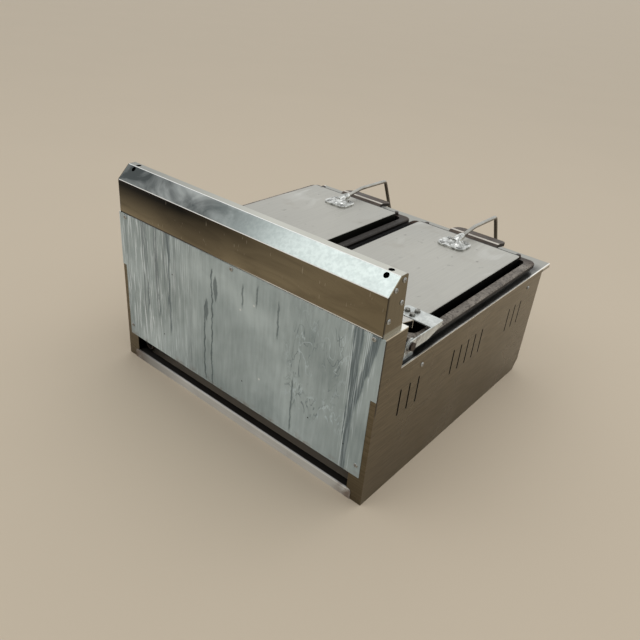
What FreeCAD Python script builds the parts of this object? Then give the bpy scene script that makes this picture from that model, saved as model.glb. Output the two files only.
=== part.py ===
"""Countertop gas griddle with two cast-iron pans under hinged lids (millimetres, +Z up, front at -Y)."""
import FreeCAD, Part
import math
import os

V = FreeCAD.Vector

# Sheet metal
SHEET = 1.2
PLATE = 0.8
BEND_RADIUS = 1.5
SEAM = 0.3
TOUCHING = 0.001

# Pans
PAN_WIDTH = 287.0
PAN_LENGTH = 439.0
PAN_DEPTH = 33.0
PAN_WALL = 6.0
PAN_FLOOR = 7.0
PAN_DRAFT = 3.0
PAN_CORNER = 14.0
PAN_CLEARANCE = 2.0
RIM_WIDTH = 16.0
RIM_THICKNESS = 9.0
RIM_RISE = 17.0
RIM_BEVEL = 2.0
RIM_BOLT_OFFSET = 107.0
RIM_BOLT_ACROSS = 9.0
RIM_BOLT_HEIGHT = 6.0

# Front lip of each pan
LIP_WIDTH = 112.0
LIP_REACH = 54.0
LIP_CREST_REACH = 8.0
LIP_CREST_RISE = 6.0
LIP_END_DROP = 3.0
LIP_THICKNESS = 7.0
LIP_CORNER = 20.0
LIP_CREST_ROUNDING = 8.0
LIP_END_ROUNDING = 2.5

# Hinges
HINGE_PLATE = 2.0
ARM_THICKNESS = 2.0
ARM_HALF_HEIGHT = 9.0
ARM_TIP_HEIGHT = 7.0
ARM_TAPER = 40.0
ARM_CLEARANCE = 0.6
BRACKET_THICKNESS = 2.0
BRACKET_HALF_LENGTH = 14.0
BRACKET_EYE = 11.0
BRACKET_FOOT = 24.0
HINGE_SIDE_GAP = 0.4
PIVOT_SETBACK = 20.0
PIN_RADIUS = 4.0
PIN_CLEARANCE = 0.05
PIN_HEAD_ACROSS = 13.0
PIN_HEAD_HEIGHT = 3.5
NUT_ACROSS = 13.0
NUT_HEIGHT = 5.0

# Lids
LID_RISE = 11.0
LID_SIDE_INSET = 26.4
LID_FRONT_INSET = 23.2
LID_REAR_INSET = 36.0
LID_SKIRT = 30.0
LID_CORNER = 8.0
LID_EDGE_BEVEL = 1.2
HINGE_PLATE_LENGTH = 34.0
HINGE_PLATE_LAP = 38.0
HINGE_PLATE_CORNER = 6.0
HINGE_BOLT_ACROSS = 8.0
HINGE_BOLT_HEIGHT = 4.5
HINGE_BOLT_EDGE = 9.0
HINGE_BOLT_STEP = 13.5

# Handles
HANDLE_BASE_WIDTH = 60.0
HANDLE_BASE_LENGTH = 48.0
HANDLE_BASE_THICKNESS = 3.5
HANDLE_BASE_CORNER = 14.0
HANDLE_BASE_SETBACK = 57.0
HANDLE_SCREW_X = 19.0
HANDLE_SCREW_Y = 15.5
BAR_RADIUS = 4.0
BAR_CLEARANCE = 0.05
BAR_SOCKET_RADIUS = 8.0
BAR_SOCKET_LENGTH = 34.0
BAR_SOCKET_FLOOR = 4.0
BAR_START_RISE = 7.0
BAR_BEND_REACH = 22.0
BAR_BEND_RISE = 18.0
BAR_CORNER_REACH = 118.0
BAR_CORNER_RISE = 16.0
BAR_LEG_LENGTH = 86.4
BAR_LEG_LEAN = 25.5
BAR_BEND_RADIUS = 30.0
BAR_CORNER_RADIUS = 11.0

# Cabinet
DECK_HEIGHT = 238.0
GUTTER = 9.0
PAN_FRONT_SETBACK = 56.0
PAN_REAR_GAP = 50.0
SIDE_SETBACK = 36.6
TOE_DEPTH = 16.0
TOE_RISE = 22.0
DECK_LIP = 8.0
BOTTOM_FLANGE = 25.0
REAR_FLANGE = 30.0
DECK_FLANGE = 12.0
FRONT_FLANGE = 20.0
SILL_HEIGHT = 18.7
SILL_LAP = 9.0
SILL_CORNER = 6.0
SILL_LEDGE = 15.0

# Cooling slits in the side panels
SLIT_WIDTH = 3.0
SLIT_LENGTH = 48.5
SLIT_TOP_MARGIN = 45.5
SLIT_PITCH = 25.3
SLIT_GROUP_PITCH = 185.0
SLIT_REAR_MARGIN = 91.5
SLIT_GROUPS = (3, 5, 3)

# Rear hump, flue and flue box
HUMP_RISE = 70.0
HUMP_DEPTH = 55.0
FLUE_FLOOR_DROP = 110.0
FLUE_WINDOW_HEIGHT = 42.0
FLUE_WINDOW_MARGIN = 26.0
FLUE_SIDE_MARGIN = 40.0
FLUE_LEDGE = 10.0
COVER_REACH = 34.0
COVER_DROP = 8.0
COVER_LIP = 14.0
COVER_TAIL = 12.0
COVER_NOTCH_GAP = 2.0
BOX_REAR_RISE = 62.0
BOX_CHAMFER = 24.0
BOX_TOP = 16.0
BOX_LEAN = 5.0
BOX_END_INSET = 5.0
BOX_LEDGE = 8.0
BOX_HOLE_RADIUS = 4.5
BOX_HOLE_INSET = 21.0
BOX_HOLE_FROM_RIDGE = 6.5
CAP_SCREW_EDGE = 8.0
CAP_SCREW_LOW = 24.0
CAP_SCREW_HIGH = 44.0
CAP_SCREW_BEND = 14.5
VENT_COUNT = 9
VENT_LENGTH = 44.0
VENT_HEIGHT = 12.0
VENT_PITCH = 58.0
VENT_RISE = 40.0

# Back plate
BACK_PLATE_BOTTOM = 52.0
EAR_HEIGHT = 105.0
EAR_STEP = 10.0
BACK_SCREW_TOP_MARGIN = 6.0
BACK_SCREW_SIDE_INSET = 18.0
BACK_SCREW_LOW_MARGIN = 22.0

# Screws
SCREW_RADIUS = 3.6
SCREW_HEIGHT = 1.8
SCREW_SIDES = 8
HEX_SIDES = 6
SIDE_SCREW_DROP = 23.5
SIDE_SCREW_REAR = 118.0
SIDE_SCREW_FRONT = 58.0
FRONT_SCREW_INSET = 10.0
FRONT_SCREW_MARGIN = 20.0

# Front panel, gas cocks and knobs
PANEL_SIDE_GAP = 1.0
SPINDLE_RADIUS = 4.0
SPINDLE_CLEARANCE = 0.05
SPINDLE_HOLE_RADIUS = 6.5
SPINDLE_IN_COCK = 18.0
LIGHTING_WIDTH = 34.0
LIGHTING_HEIGHT = 14.0
LIGHTING_DROP = 62.0
KNOB_RADIUS = 23.0
KNOB_GRIP_HALF = 21.0
KNOB_DISC = 8.0
KNOB_LENGTH = 26.0
KNOB_GAP = 1.0
KNOB_FACE = 6.0
KNOB_GRIP_WIDTH = 11.0
COCK_HALF = 11.0
COCK_LENGTH = 32.0
COCK_FLANGE_ACROSS = 28.0
COCK_FLANGE = 4.0
COCK_FOOT_ACROSS = 18.0
COCK_FOOT_DROP = 20.0
INJECTOR_ACROSS = 13.0
INJECTOR_HEX = 8.0
INJECTOR_NOSE = 8.0
INJECTOR_NOSE_ACROSS = 9.0
PIPE_RADIUS = 10.65
PIPE_BORE_RADIUS = 8.0
PIPE_BORE_DEPTH = 40.0
ELBOW_HALF = 14.0
PIPE_INSET = 50.0
PIPE_END_SETBACK = 12.0
MANIFOLD_TAIL = 22.0
RISER_RADIUS = 8.0

# Burners, burner rests and heat shields
BURNER_DROP = 40.0
BURNER_HALF = 16.0
BURNER_SPREAD = 62.0
BURNER_FRONT_MARGIN = 78.0
BURNER_REAR_MARGIN = 56.0
PORT_WIDTH = 6.0
PORT_DEPTH = 5.0
PORT_END_MARGIN = 40.0
MIXER_RADIUS = 11.0
MIXER_MOUTH_RADIUS = 17.0
MIXER_WALL = 2.5
MIXER_FLARE = 16.0
MIXER_LAP = 3.0
REST_HEIGHT = 20.0
REST_WIDTH = 22.0
REST_MARGIN = 55.0
SHIELD_GAP = 14.0
SHIELD_TOP_GAP = 8.0
SHIELD_HEIGHT = 130.0
SHIELD_END_MARGIN = 46.0
CENTRE_SHIELD_FOOT = 14.0

# Places that follow from the sizes above, across the width
arm_inner = BRACKET_THICKNESS / 2 + HINGE_SIDE_GAP
pan_inner = arm_inner + ARM_THICKNESS + ARM_CLEARANCE
pan_outer = pan_inner + PAN_WIDTH
pan_middle = (pan_inner + pan_outer) / 2
arm_outer = pan_outer + ARM_CLEARANCE
bracket_outer = arm_outer - HINGE_SIDE_GAP
half_width = pan_outer + GUTTER
web_inside = half_width - SHEET
lid_inner = pan_inner + LID_SIDE_INSET
lid_outer = pan_outer - LID_SIDE_INSET
rim_overhang = RIM_WIDTH - PAN_WALL
hole_inner = pan_inner + rim_overhang - PAN_CLEARANCE
hole_outer = pan_outer - rim_overhang + PAN_CLEARANCE
cover_end = half_width - DECK_FLANGE - SEAM
box_end = half_width - BOX_END_INSET
shield_face = web_inside - SHIELD_GAP

# Places along the depth
leg_lean = math.radians(BAR_LEG_LEAN)
handle_reach = (BAR_CORNER_REACH - LID_FRONT_INSET - PAN_FRONT_SETBACK
                + BAR_LEG_LENGTH * math.sin(leg_lean) + BAR_RADIUS * math.cos(leg_lean))
body_depth = PAN_FRONT_SETBACK + PAN_LENGTH + PAN_REAR_GAP + HUMP_DEPTH
y_back = (body_depth + handle_reach - PLATE - SCREW_HEIGHT) / 2
y_front = y_back - body_depth
y_side_front = y_front + SIDE_SETBACK
y_panel = y_side_front - SHEET
y_hump = y_back - HUMP_DEPTH
pan_front = y_front + PAN_FRONT_SETBACK
pan_rear = pan_front + PAN_LENGTH
lid_front = pan_front + LID_FRONT_INSET
lid_rear = pan_rear - LID_REAR_INSET
pivot_y = pan_rear + PIVOT_SETBACK
box_front = y_back - BOX_CHAMFER - BOX_TOP

# Places in height
deck_under = DECK_HEIGHT - SHEET
rim_top = DECK_HEIGHT + RIM_RISE
rim_under = rim_top - RIM_THICKNESS
floor_top = rim_top - PAN_DEPTH
pan_under = floor_top - PAN_FLOOR
lid_top = rim_top + LID_RISE
hinge_top = lid_top + HINGE_PLATE
pivot_z = hinge_top - ARM_HALF_HEIGHT
hump_top = DECK_HEIGHT + HUMP_RISE
flue_floor = DECK_HEIGHT - FLUE_FLOOR_DROP
box_top = hump_top + BOX_REAR_RISE + BOX_CHAMFER
burner_z = pan_under - BURNER_DROP - BURNER_HALF
rest_top = burner_z - BURNER_HALF
pipe_z = (SILL_HEIGHT + BACK_PLATE_BOTTOM) / 2
shield_top = pan_under - SHIELD_TOP_GAP


# Building blocks

def at(axis, u, v, w):
    """Point at w along the axis, with u, v in its plane: (y, z) for x, (x, z) for y, (x, y) for z."""
    if axis == "x":
        return V(w, u, v)
    if axis == "y":
        return V(u, w, v)
    return V(u, v, w)


def outline(corners, axis, place):
    """Closed wire through (u, v, radius) corners, each rounded to its radius."""
    starts, middles, ends = [], [], []
    for i, (u, v, radius) in enumerate(corners):
        here = V(u, v, 0)
        before = V(*corners[i - 1][:2], 0) - here
        after = V(*corners[(i + 1) % len(corners)][:2], 0) - here
        before.normalize()
        after.normalize()
        half_angle = before.getAngle(after) / 2
        reach = radius / math.tan(half_angle)
        starts.append(here + before * reach)
        ends.append(here + after * reach)
        middle = before + after
        if radius > 0:
            middle.normalize()
        middles.append(here + middle * (radius / math.sin(half_angle) - radius))
    edges = []
    for i, (u, v, radius) in enumerate(corners):
        start, middle, end = (at(axis, p.x, p.y, place) for p in (starts[i], middles[i], ends[i]))
        if radius > 0:
            edges.append(Part.Arc(start, middle, end).toShape())
        following = starts[(i + 1) % len(corners)]
        following = at(axis, following.x, following.y, place)
        if end.distanceToPoint(following) > TOUCHING:
            edges.append(Part.makeLine(end, following))
    return Part.Wire(edges)


def prism(corners, axis, start, end):
    """Solid between two places along the axis, with the outline of the rounded corners."""
    face = Part.Face(outline(corners, axis, start))
    return face.extrude(at(axis, 0, 0, end - start))


def rectangle(u0, u1, v0, v1, radius=0.0):
    """Four corners of a rectangle, all with one radius."""
    return [(u0, v0, radius), (u1, v0, radius), (u1, v1, radius), (u0, v1, radius)]


def block(x0, x1, y0, y1, z0, z1):
    """Box between its lowest and highest places."""
    return Part.makeBox(x1 - x0, y1 - y0, z1 - z0, V(x0, y0, z0))


def folded(path, axis, start, end):
    """Sheet bent along a path of (u, v) points, with its thickness on the left of the path."""
    points = [V(u, v, 0) for u, v in path]
    runs = [(b - a).normalize() for a, b in zip(points, points[1:])]
    normals = [V(-run.y, run.x, 0) for run in runs]
    right = [(points[0].x, points[0].y, 0.0)]
    first = points[0] + normals[0] * SHEET
    left = [(first.x, first.y, 0.0)]
    for i in range(1, len(points) - 1):
        across = normals[i - 1] + normals[i]
        shift = across * (SHEET / (1 + normals[i - 1].dot(normals[i])))
        inside = points[i] + shift
        turns_left = runs[i - 1].cross(runs[i]).z > 0
        right_radius = BEND_RADIUS + SHEET if turns_left else BEND_RADIUS
        left_radius = BEND_RADIUS if turns_left else BEND_RADIUS + SHEET
        right.append((points[i].x, points[i].y, right_radius))
        left.append((inside.x, inside.y, left_radius))
    last = points[-1] + normals[-1] * SHEET
    right.append((points[-1].x, points[-1].y, 0.0))
    left.append((last.x, last.y, 0.0))
    return prism(right + left[::-1], axis, start, end)


def rod(radius, start, end):
    """Round bar between two points."""
    return Part.makeCylinder(radius, start.distanceToPoint(end), start, end - start)


def polygon_head(sides, across, height, base, direction):
    """Head or nut with flat sides, standing on its base point."""
    radius = across / 2 / math.cos(math.pi / sides)
    turns = [2 * math.pi * i / sides for i in range(sides)]
    points = [V(radius * math.cos(turn), radius * math.sin(turn), 0) for turn in turns]
    solid = Part.Face(Part.makePolygon(points + points[:1])).extrude(V(0, 0, height))
    solid.Placement = FreeCAD.Placement(base, FreeCAD.Rotation(V(0, 0, 1), direction))
    return solid


def hexagon(across, height, base, direction):
    """Hexagonal head or nut standing on its base point."""
    return polygon_head(HEX_SIDES, across, height, base, direction)


def screw(base, direction):
    """Low screw head standing on its base point."""
    return polygon_head(SCREW_SIDES, 2 * SCREW_RADIUS, SCREW_HEIGHT, base, direction)


def fused(solids):
    """One solid from overlapping solids, without seam lines on its faces."""
    return solids[0].multiFuse(solids[1:]).removeSplitter()


def edges_at(solid, height):
    """Edges of a solid that lie at one height."""
    return [edge for edge in solid.Edges if all(abs(v.Z - height) < TOUCHING for v in edge.Vertexes)]


def mirrored(shape):
    """Same shape on the other side of the middle plane."""
    return shape.mirror(V(0, 0, 0), V(1, 0, 0))


# Cabinet

def slit_places():
    """Places along the depth of the cooling slits, in groups from the rear."""
    places = []
    for group, count in enumerate(SLIT_GROUPS):
        middle = y_back - SLIT_REAR_MARGIN - group * SLIT_GROUP_PITCH
        places += [middle + (i - (count - 1) / 2) * SLIT_PITCH for i in range(count)]
    return places


def side_panel():
    """Right side wall with a raised rear hump, inward flanges and slits."""
    corners = [(y_back, 0, 0), (y_back, hump_top, 0), (y_hump, hump_top, 0), (y_hump, deck_under, 0),
               (y_side_front, deck_under, 0), (y_side_front, TOE_RISE, 0), (y_side_front + TOE_DEPTH, 0, 0)]
    web = prism(corners, "x", web_inside, half_width)
    bottom = block(half_width - BOTTOM_FLANGE, half_width, y_side_front + TOE_DEPTH, y_back, 0, SHEET)
    rear = block(half_width - REAR_FLANGE, half_width, y_back - SHEET, y_back, 0, hump_top)
    deck = block(half_width - DECK_FLANGE, half_width, y_side_front, y_hump, deck_under - SHEET, deck_under)
    hump = block(half_width - DECK_FLANGE, half_width, y_hump, y_back, hump_top - SHEET, hump_top)
    front = block(half_width - FRONT_FLANGE, half_width, y_side_front, y_side_front + SHEET,
                  TOE_RISE, deck_under)
    slit_top = DECK_HEIGHT - SLIT_TOP_MARGIN
    slits = [block(web_inside - SHEET, half_width + SHEET, y - SLIT_WIDTH / 2, y + SLIT_WIDTH / 2,
                   slit_top - SLIT_LENGTH, slit_top) for y in slit_places()]
    return fused([web, bottom, rear, deck, hump, front]).cut(Part.makeCompound(slits))


def rear_sill():
    """Bar along the bottom at the back, lapped over the rear flanges, with a ledge turned inwards."""
    span = half_width - REAR_FLANGE
    corners = rectangle(-span - SILL_LAP, span + SILL_LAP, 0, SILL_HEIGHT)
    corners = [corners[0], corners[1], corners[2][:2] + (SILL_CORNER,), corners[3][:2] + (SILL_CORNER,)]
    face = prism(corners, "y", y_back, y_back + SHEET)
    ledge = block(SEAM - span, span - SEAM, y_back - SILL_LEDGE, y_back + SHEET,
                  SILL_HEIGHT - SHEET, SILL_HEIGHT)
    return fused([face, ledge])


def front_sill():
    """Angle across the bottom at the front, standing on the side panels' bottom flanges."""
    toe = y_side_front + TOE_DEPTH
    path = [(toe + SILL_LEDGE, SILL_HEIGHT), (toe, SILL_HEIGHT), (toe, SHEET)]
    return folded(path, "x", -web_inside, web_inside)


def back_plate():
    """Flat back cover with an ear at each upper side."""
    ear = hump_top - EAR_HEIGHT
    inner = half_width - EAR_STEP
    top = hump_top - SEAM
    right = [(inner, BACK_PLATE_BOTTOM, 0), (inner, ear, 0), (half_width, ear, 0), (half_width, top, 0)]
    left = [(-x, z, radius) for x, z, radius in reversed(right)]
    return prism(right + left, "y", y_back, y_back + PLATE)


def back_plate_screws():
    """Screws along the top of the back plate and at its lower corners."""
    side = half_width - BACK_SCREW_SIDE_INSET
    top = hump_top - BACK_SCREW_TOP_MARGIN
    low = BACK_PLATE_BOTTOM + BACK_SCREW_LOW_MARGIN
    places = [(-side, top), (0, top), (side, top), (-side, low), (side, low)]
    return Part.makeCompound([screw(V(x, y_back + PLATE, z), V(0, 1, 0)) for x, z in places])


def side_screws():
    """Two screws on each side panel, below the deck."""
    height = DECK_HEIGHT - SIDE_SCREW_DROP
    places = [y_back - SIDE_SCREW_REAR, y_side_front + SIDE_SCREW_FRONT]
    right = [screw(V(half_width, y, height), V(1, 0, 0)) for y in places]
    return Part.makeCompound(right + [mirrored(head) for head in right])


def top_deck():
    """Top sheet with a folded front edge and an upturned collar round each pan opening."""
    top = block(-half_width, half_width, y_front, y_hump, deck_under, DECK_HEIGHT)
    lip = block(-half_width, half_width, y_front, y_front + SHEET, DECK_HEIGHT - DECK_LIP, DECK_HEIGHT)
    hem_end = y_panel - SEAM
    hem = block(web_inside, half_width, y_front, hem_end, DECK_HEIGHT - DECK_LIP, DECK_HEIGHT)
    hole_front = pan_front + rim_overhang - PAN_CLEARANCE
    hole_rear = pan_rear - rim_overhang + PAN_CLEARANCE
    collar = block(hole_inner - SHEET, hole_outer + SHEET, hole_front - SHEET, hole_rear + SHEET,
                   deck_under, rim_under)
    hole = block(hole_inner, hole_outer, hole_front, hole_rear, deck_under - SHEET, rim_under + SHEET)
    solid = fused([top, lip, hem, mirrored(hem), collar, mirrored(collar)])
    return solid.cut(Part.makeCompound([hole, mirrored(hole)]))


def front_panel():
    """Flat panel under the deck's overhang with spindle holes and lighting slots."""
    side = half_width - PANEL_SIDE_GAP
    panel = block(-side, side, y_panel, y_side_front, TOE_RISE, deck_under)
    spindle_hole = rod(SPINDLE_HOLE_RADIUS, V(pan_middle, y_panel - SHEET, burner_z),
                       V(pan_middle, y_side_front + SHEET, burner_z))
    low = burner_z - LIGHTING_DROP
    lighting = block(pan_middle - LIGHTING_WIDTH / 2, pan_middle + LIGHTING_WIDTH / 2, y_panel - SHEET,
                     y_side_front + SHEET, low - LIGHTING_HEIGHT / 2, low + LIGHTING_HEIGHT / 2)
    holes = [spindle_hole, mirrored(spindle_hole), lighting, mirrored(lighting)]
    return panel.cut(Part.makeCompound(holes))


def front_panel_screws():
    """One screw near each corner of the front panel."""
    side = half_width - FRONT_SCREW_INSET
    heights = [TOE_RISE + FRONT_SCREW_MARGIN, deck_under - FRONT_SCREW_MARGIN]
    places = [(x, z) for x in (-side, side) for z in heights]
    return Part.makeCompound([screw(V(x, y_panel, z), V(0, -1, 0)) for x, z in places])


# Flue

def flue_wall():
    """Folded wall behind the pans: flue floor, wall with a gas window, and a ledge under the hinge cover."""
    ledge_z = hump_top - SHEET
    path = [(y_hump + FLUE_LEDGE, ledge_z), (y_hump, ledge_z), (y_hump, flue_floor),
            (y_back - SHEET, flue_floor)]
    wall = folded(path, "x", -web_inside, web_inside)
    window_top = deck_under - FLUE_WINDOW_MARGIN
    span = web_inside - FLUE_SIDE_MARGIN
    window = block(-span, span, y_hump - SHEET, y_hump + 2 * SHEET,
                   window_top - FLUE_WINDOW_HEIGHT, window_top)
    return wall.cut(window)


def hinge_cover():
    """Cover over the flue and the hinge arms, open under the flue box and notched for the middle arms."""
    rear = y_back - SHEET
    path = [(rear, hump_top - COVER_TAIL), (rear, hump_top), (y_hump, hump_top),
            (y_hump - COVER_REACH, hump_top - COVER_DROP),
            (y_hump - COVER_REACH, hump_top - COVER_DROP - COVER_LIP)]
    sheet = folded(path, "x", -cover_end, cover_end)
    span = box_end - FLUE_SIDE_MARGIN
    opening = block(-span, span, box_front + FLUE_LEDGE, rear - FLUE_LEDGE,
                    hump_top - 2 * SHEET, hump_top + SHEET)
    notch_half = pan_inner + COVER_NOTCH_GAP
    notch = block(-notch_half, notch_half, y_hump - COVER_REACH - SHEET, y_hump - SHEET,
                  hump_top - COVER_DROP - COVER_LIP - SHEET, hump_top + SHEET)
    return sheet.cut(Part.makeCompound([opening, notch]))


def box_profile():
    """Flue box section (y, z) from its rear lower edge over the chamfer to its front lower edge."""
    rear = y_back + PLATE
    return [(rear, hump_top), (rear, hump_top + BOX_REAR_RISE), (rear - BOX_CHAMFER, box_top),
            (rear - BOX_CHAMFER - BOX_TOP, box_top), (rear - BOX_CHAMFER - BOX_TOP - BOX_LEAN, hump_top)]


def rear_box_shell():
    """Folded shell of the flue box, with ledges below, vents in front and a pair of holes at each end."""
    profile = box_profile()
    rear_foot = (profile[0][0] - BOX_LEDGE, hump_top)
    front_foot = (profile[-1][0] + BOX_LEDGE, hump_top)
    end = box_end - SHEET
    shell = folded([rear_foot] + profile + [front_foot], "x", -end, end)
    front = profile[-1][0]
    vent_low = hump_top + VENT_RISE
    cuts = []
    for i in range(VENT_COUNT):
        x = (i - (VENT_COUNT - 1) / 2) * VENT_PITCH
        cuts.append(block(x - VENT_LENGTH / 2, x + VENT_LENGTH / 2, front - BOX_LEAN, front + 2 * BOX_LEAN,
                          vent_low, vent_low + VENT_HEIGHT))
    ridge = V(0, profile[2][0], box_top)
    slope = V(0, 1, -1).normalize()
    for side in (-1, 1):
        across = V(side * (box_end - BOX_HOLE_INSET), 0, 0)
        for along, normal in ((slope, V(0, 1, 1).normalize()), (V(0, -1, 0), V(0, 0, 1))):
            centre = ridge + across + along * BOX_HOLE_FROM_RIDGE
            reach = normal * BOX_HOLE_RADIUS
            cuts.append(rod(BOX_HOLE_RADIUS, centre - reach, centre + reach))
    return shell.cut(Part.makeCompound(cuts))


def rear_box_end():
    """Flat cap on the right end of the flue box."""
    corners = [(y, z, 0) for y, z in box_profile()]
    bends = [corners[0]] + [(y, z, BEND_RADIUS + SHEET) for y, z, _ in corners[1:4]] + [corners[4]]
    return prism(bends, "x", box_end - SHEET, box_end)


def rear_box_end_screws():
    """Four screws on each end cap: two along its rear edge, one at the ridge and one at its front edge."""
    rear, top_rear, ridge, top_front, front = box_profile()
    places = [(rear[0] - CAP_SCREW_EDGE, hump_top + CAP_SCREW_LOW),
              (top_rear[0] - CAP_SCREW_BEND, top_rear[1] + CAP_SCREW_EDGE - SCREW_HEIGHT),
              (ridge[0] - CAP_SCREW_EDGE, box_top - CAP_SCREW_EDGE),
              (top_front[0] + CAP_SCREW_EDGE - SCREW_HEIGHT, hump_top + CAP_SCREW_HIGH)]
    right = [screw(V(box_end, y, z), V(1, 0, 0)) for y, z in places]
    return Part.makeCompound(right + [mirrored(head) for head in right])


# Pans

def pan_lip():
    """Tongue cast on the front of the rim, rising to a crest and falling to a rounded end."""
    root = pan_front + rim_overhang
    crest = pan_front - LIP_CREST_REACH
    tip = pan_front - LIP_REACH
    crest_top = rim_top + LIP_CREST_RISE
    tip_top = rim_top - LIP_END_DROP
    profile = [(root, rim_under, 0), (root, rim_top, 0), (crest, crest_top, LIP_CREST_ROUNDING),
               (tip, tip_top, LIP_END_ROUNDING), (tip, tip_top - LIP_THICKNESS, LIP_END_ROUNDING),
               (crest, crest_top - LIP_THICKNESS, 0), (pan_front, rim_under, 0)]
    x0 = pan_middle - LIP_WIDTH / 2
    x1 = pan_middle + LIP_WIDTH / 2
    tongue = prism(profile, "x", x0, x1)
    plan = [(x0, tip, LIP_CORNER), (x1, tip, LIP_CORNER), (x1, root, 0), (x0, root, 0)]
    return tongue.common(prism(plan, "z", rim_under - LIP_THICKNESS, crest_top + LIP_THICKNESS))


def pan():
    """Cast-iron pan with a wide rim, drafted walls and a front lip."""
    rim = prism(rectangle(pan_inner, pan_outer, pan_front, pan_rear, PAN_CORNER), "z", rim_under, rim_top)
    rim = rim.makeChamfer(RIM_BEVEL, edges_at(rim, rim_top))
    tub = prism(rectangle(pan_inner + rim_overhang, pan_outer - rim_overhang, pan_front + rim_overhang,
                          pan_rear - rim_overhang, PAN_CORNER), "z", pan_under, rim_under + SHEET)

    def cavity_wire(inset, height):
        return outline(rectangle(pan_inner + inset, pan_outer - inset, pan_front + inset, pan_rear - inset,
                                 PAN_CORNER), "z", height)

    sections = [cavity_wire(RIM_WIDTH + PAN_DRAFT, floor_top), cavity_wire(RIM_WIDTH, rim_top)]
    cavity = Part.makeLoft(sections, True, True)
    return fused([rim, tub, pan_lip()]).cut(cavity)


def pan_rim_bolts():
    """Two bolts on the front rim of each pan."""
    y = pan_front + rim_overhang - PAN_CLEARANCE
    places = [pan_middle - RIM_BOLT_OFFSET, pan_middle + RIM_BOLT_OFFSET]
    right = [hexagon(RIM_BOLT_ACROSS, RIM_BOLT_HEIGHT, V(x, y, rim_top), V(0, 0, 1)) for x in places]
    return Part.makeCompound(right + [mirrored(bolt) for bolt in right])


# Hinges

def bracket_plate(x0, x1):
    """Upright hinge plate on the deck, rounded round the pin and bored for it."""
    corners = [(pivot_y - BRACKET_HALF_LENGTH, DECK_HEIGHT, 0),
               (pivot_y + BRACKET_HALF_LENGTH, DECK_HEIGHT, 0),
               (pivot_y + BRACKET_EYE, pivot_z + BRACKET_EYE, BRACKET_EYE - SHEET),
               (pivot_y - BRACKET_EYE, pivot_z + BRACKET_EYE, BRACKET_EYE - SHEET)]
    return prism(corners, "x", x0, x1)


def pin_bore(radius, x0, x1):
    """Round cut on the hinge axis."""
    return rod(radius, V(x0, pivot_y, pivot_z), V(x1, pivot_y, pivot_z))


def bracket_foot(x0, x1):
    """Foot of a hinge bracket, flat on the deck."""
    return block(x0, x1, pivot_y - BRACKET_HALF_LENGTH, pivot_y + BRACKET_HALF_LENGTH,
                 DECK_HEIGHT, DECK_HEIGHT + BRACKET_THICKNESS)


def hinge_bracket():
    """Right outer hinge bracket, an angle with its foot towards the middle."""
    inside = bracket_outer - BRACKET_THICKNESS
    foot = bracket_foot(bracket_outer - BRACKET_FOOT, bracket_outer)
    angle = fused([bracket_plate(inside, bracket_outer), foot])
    return angle.cut(pin_bore(PIN_RADIUS + PIN_CLEARANCE, inside - SHEET, bracket_outer + SHEET))


def centre_hinge_bracket():
    """Middle hinge bracket, a plate with a foot to both sides, which carries an arm of each lid."""
    half = BRACKET_THICKNESS / 2
    tee = fused([bracket_plate(-half, half), bracket_foot(-BRACKET_FOOT / 2, BRACKET_FOOT / 2)])
    return tee.cut(pin_bore(PIN_RADIUS + PIN_CLEARANCE, -BRACKET_FOOT, BRACKET_FOOT))


def bracket_screws():
    """Screws through the feet of the hinge brackets."""
    y = pivot_y + BRACKET_HALF_LENGTH - SCREW_RADIUS - SHEET
    height = DECK_HEIGHT + BRACKET_THICKNESS
    outer = bracket_outer - BRACKET_FOOT + SCREW_RADIUS + SHEET
    inner = BRACKET_FOOT / 2 - SCREW_RADIUS - SHEET
    return Part.makeCompound([screw(V(x, y, height), V(0, 0, 1)) for x in (-outer, -inner, inner, outer)])


def pin(x0, x1):
    """Hinge pin with its head at x0 and its plain end at x1."""
    outwards = V(x0 - x1, 0, 0).normalize()
    shank = pin_bore(PIN_RADIUS, x0, x1)
    head = hexagon(PIN_HEAD_ACROSS, PIN_HEAD_HEIGHT, V(x0, pivot_y, pivot_z), outwards)
    return fused([shank, head])


def hinge_pins():
    """Outer pins with their heads outside the arms, and one pin through the middle bracket."""
    head = arm_outer + ARM_THICKNESS + HINGE_SIDE_GAP
    end = bracket_outer - BRACKET_THICKNESS
    middle_head = arm_inner + ARM_THICKNESS + HINGE_SIDE_GAP
    middle = pin(-middle_head, middle_head)
    return Part.makeCompound([pin(head, end), mirrored(pin(head, end)), middle])


def cap_nut(x, direction):
    """Closed hexagonal nut against the end of a hinge pin."""
    return hexagon(NUT_ACROSS, NUT_HEIGHT, V(x, pivot_y, pivot_z), V(direction, 0, 0))


def hinge_nuts():
    """Cap nuts on the inner ends of the outer pins and on the middle pin."""
    outer = cap_nut(bracket_outer - BRACKET_THICKNESS, -1)
    middle = cap_nut(arm_inner + ARM_THICKNESS + HINGE_SIDE_GAP, 1)
    return Part.makeCompound([outer, mirrored(outer), middle])


# Lids

def lid_panel():
    """Folded lid with rounded corners and a skirt that reaches into the pan."""
    def tray(inset, top):
        corners = rectangle(lid_inner + inset, lid_outer - inset, lid_front + inset, lid_rear - inset,
                            LID_CORNER - inset)
        return prism(corners, "z", lid_top - LID_SKIRT, top)

    outside = tray(0, lid_top)
    outside = outside.makeChamfer(LID_EDGE_BEVEL, edges_at(outside, lid_top))
    return outside.cut(tray(SHEET, lid_top - SHEET))


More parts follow.
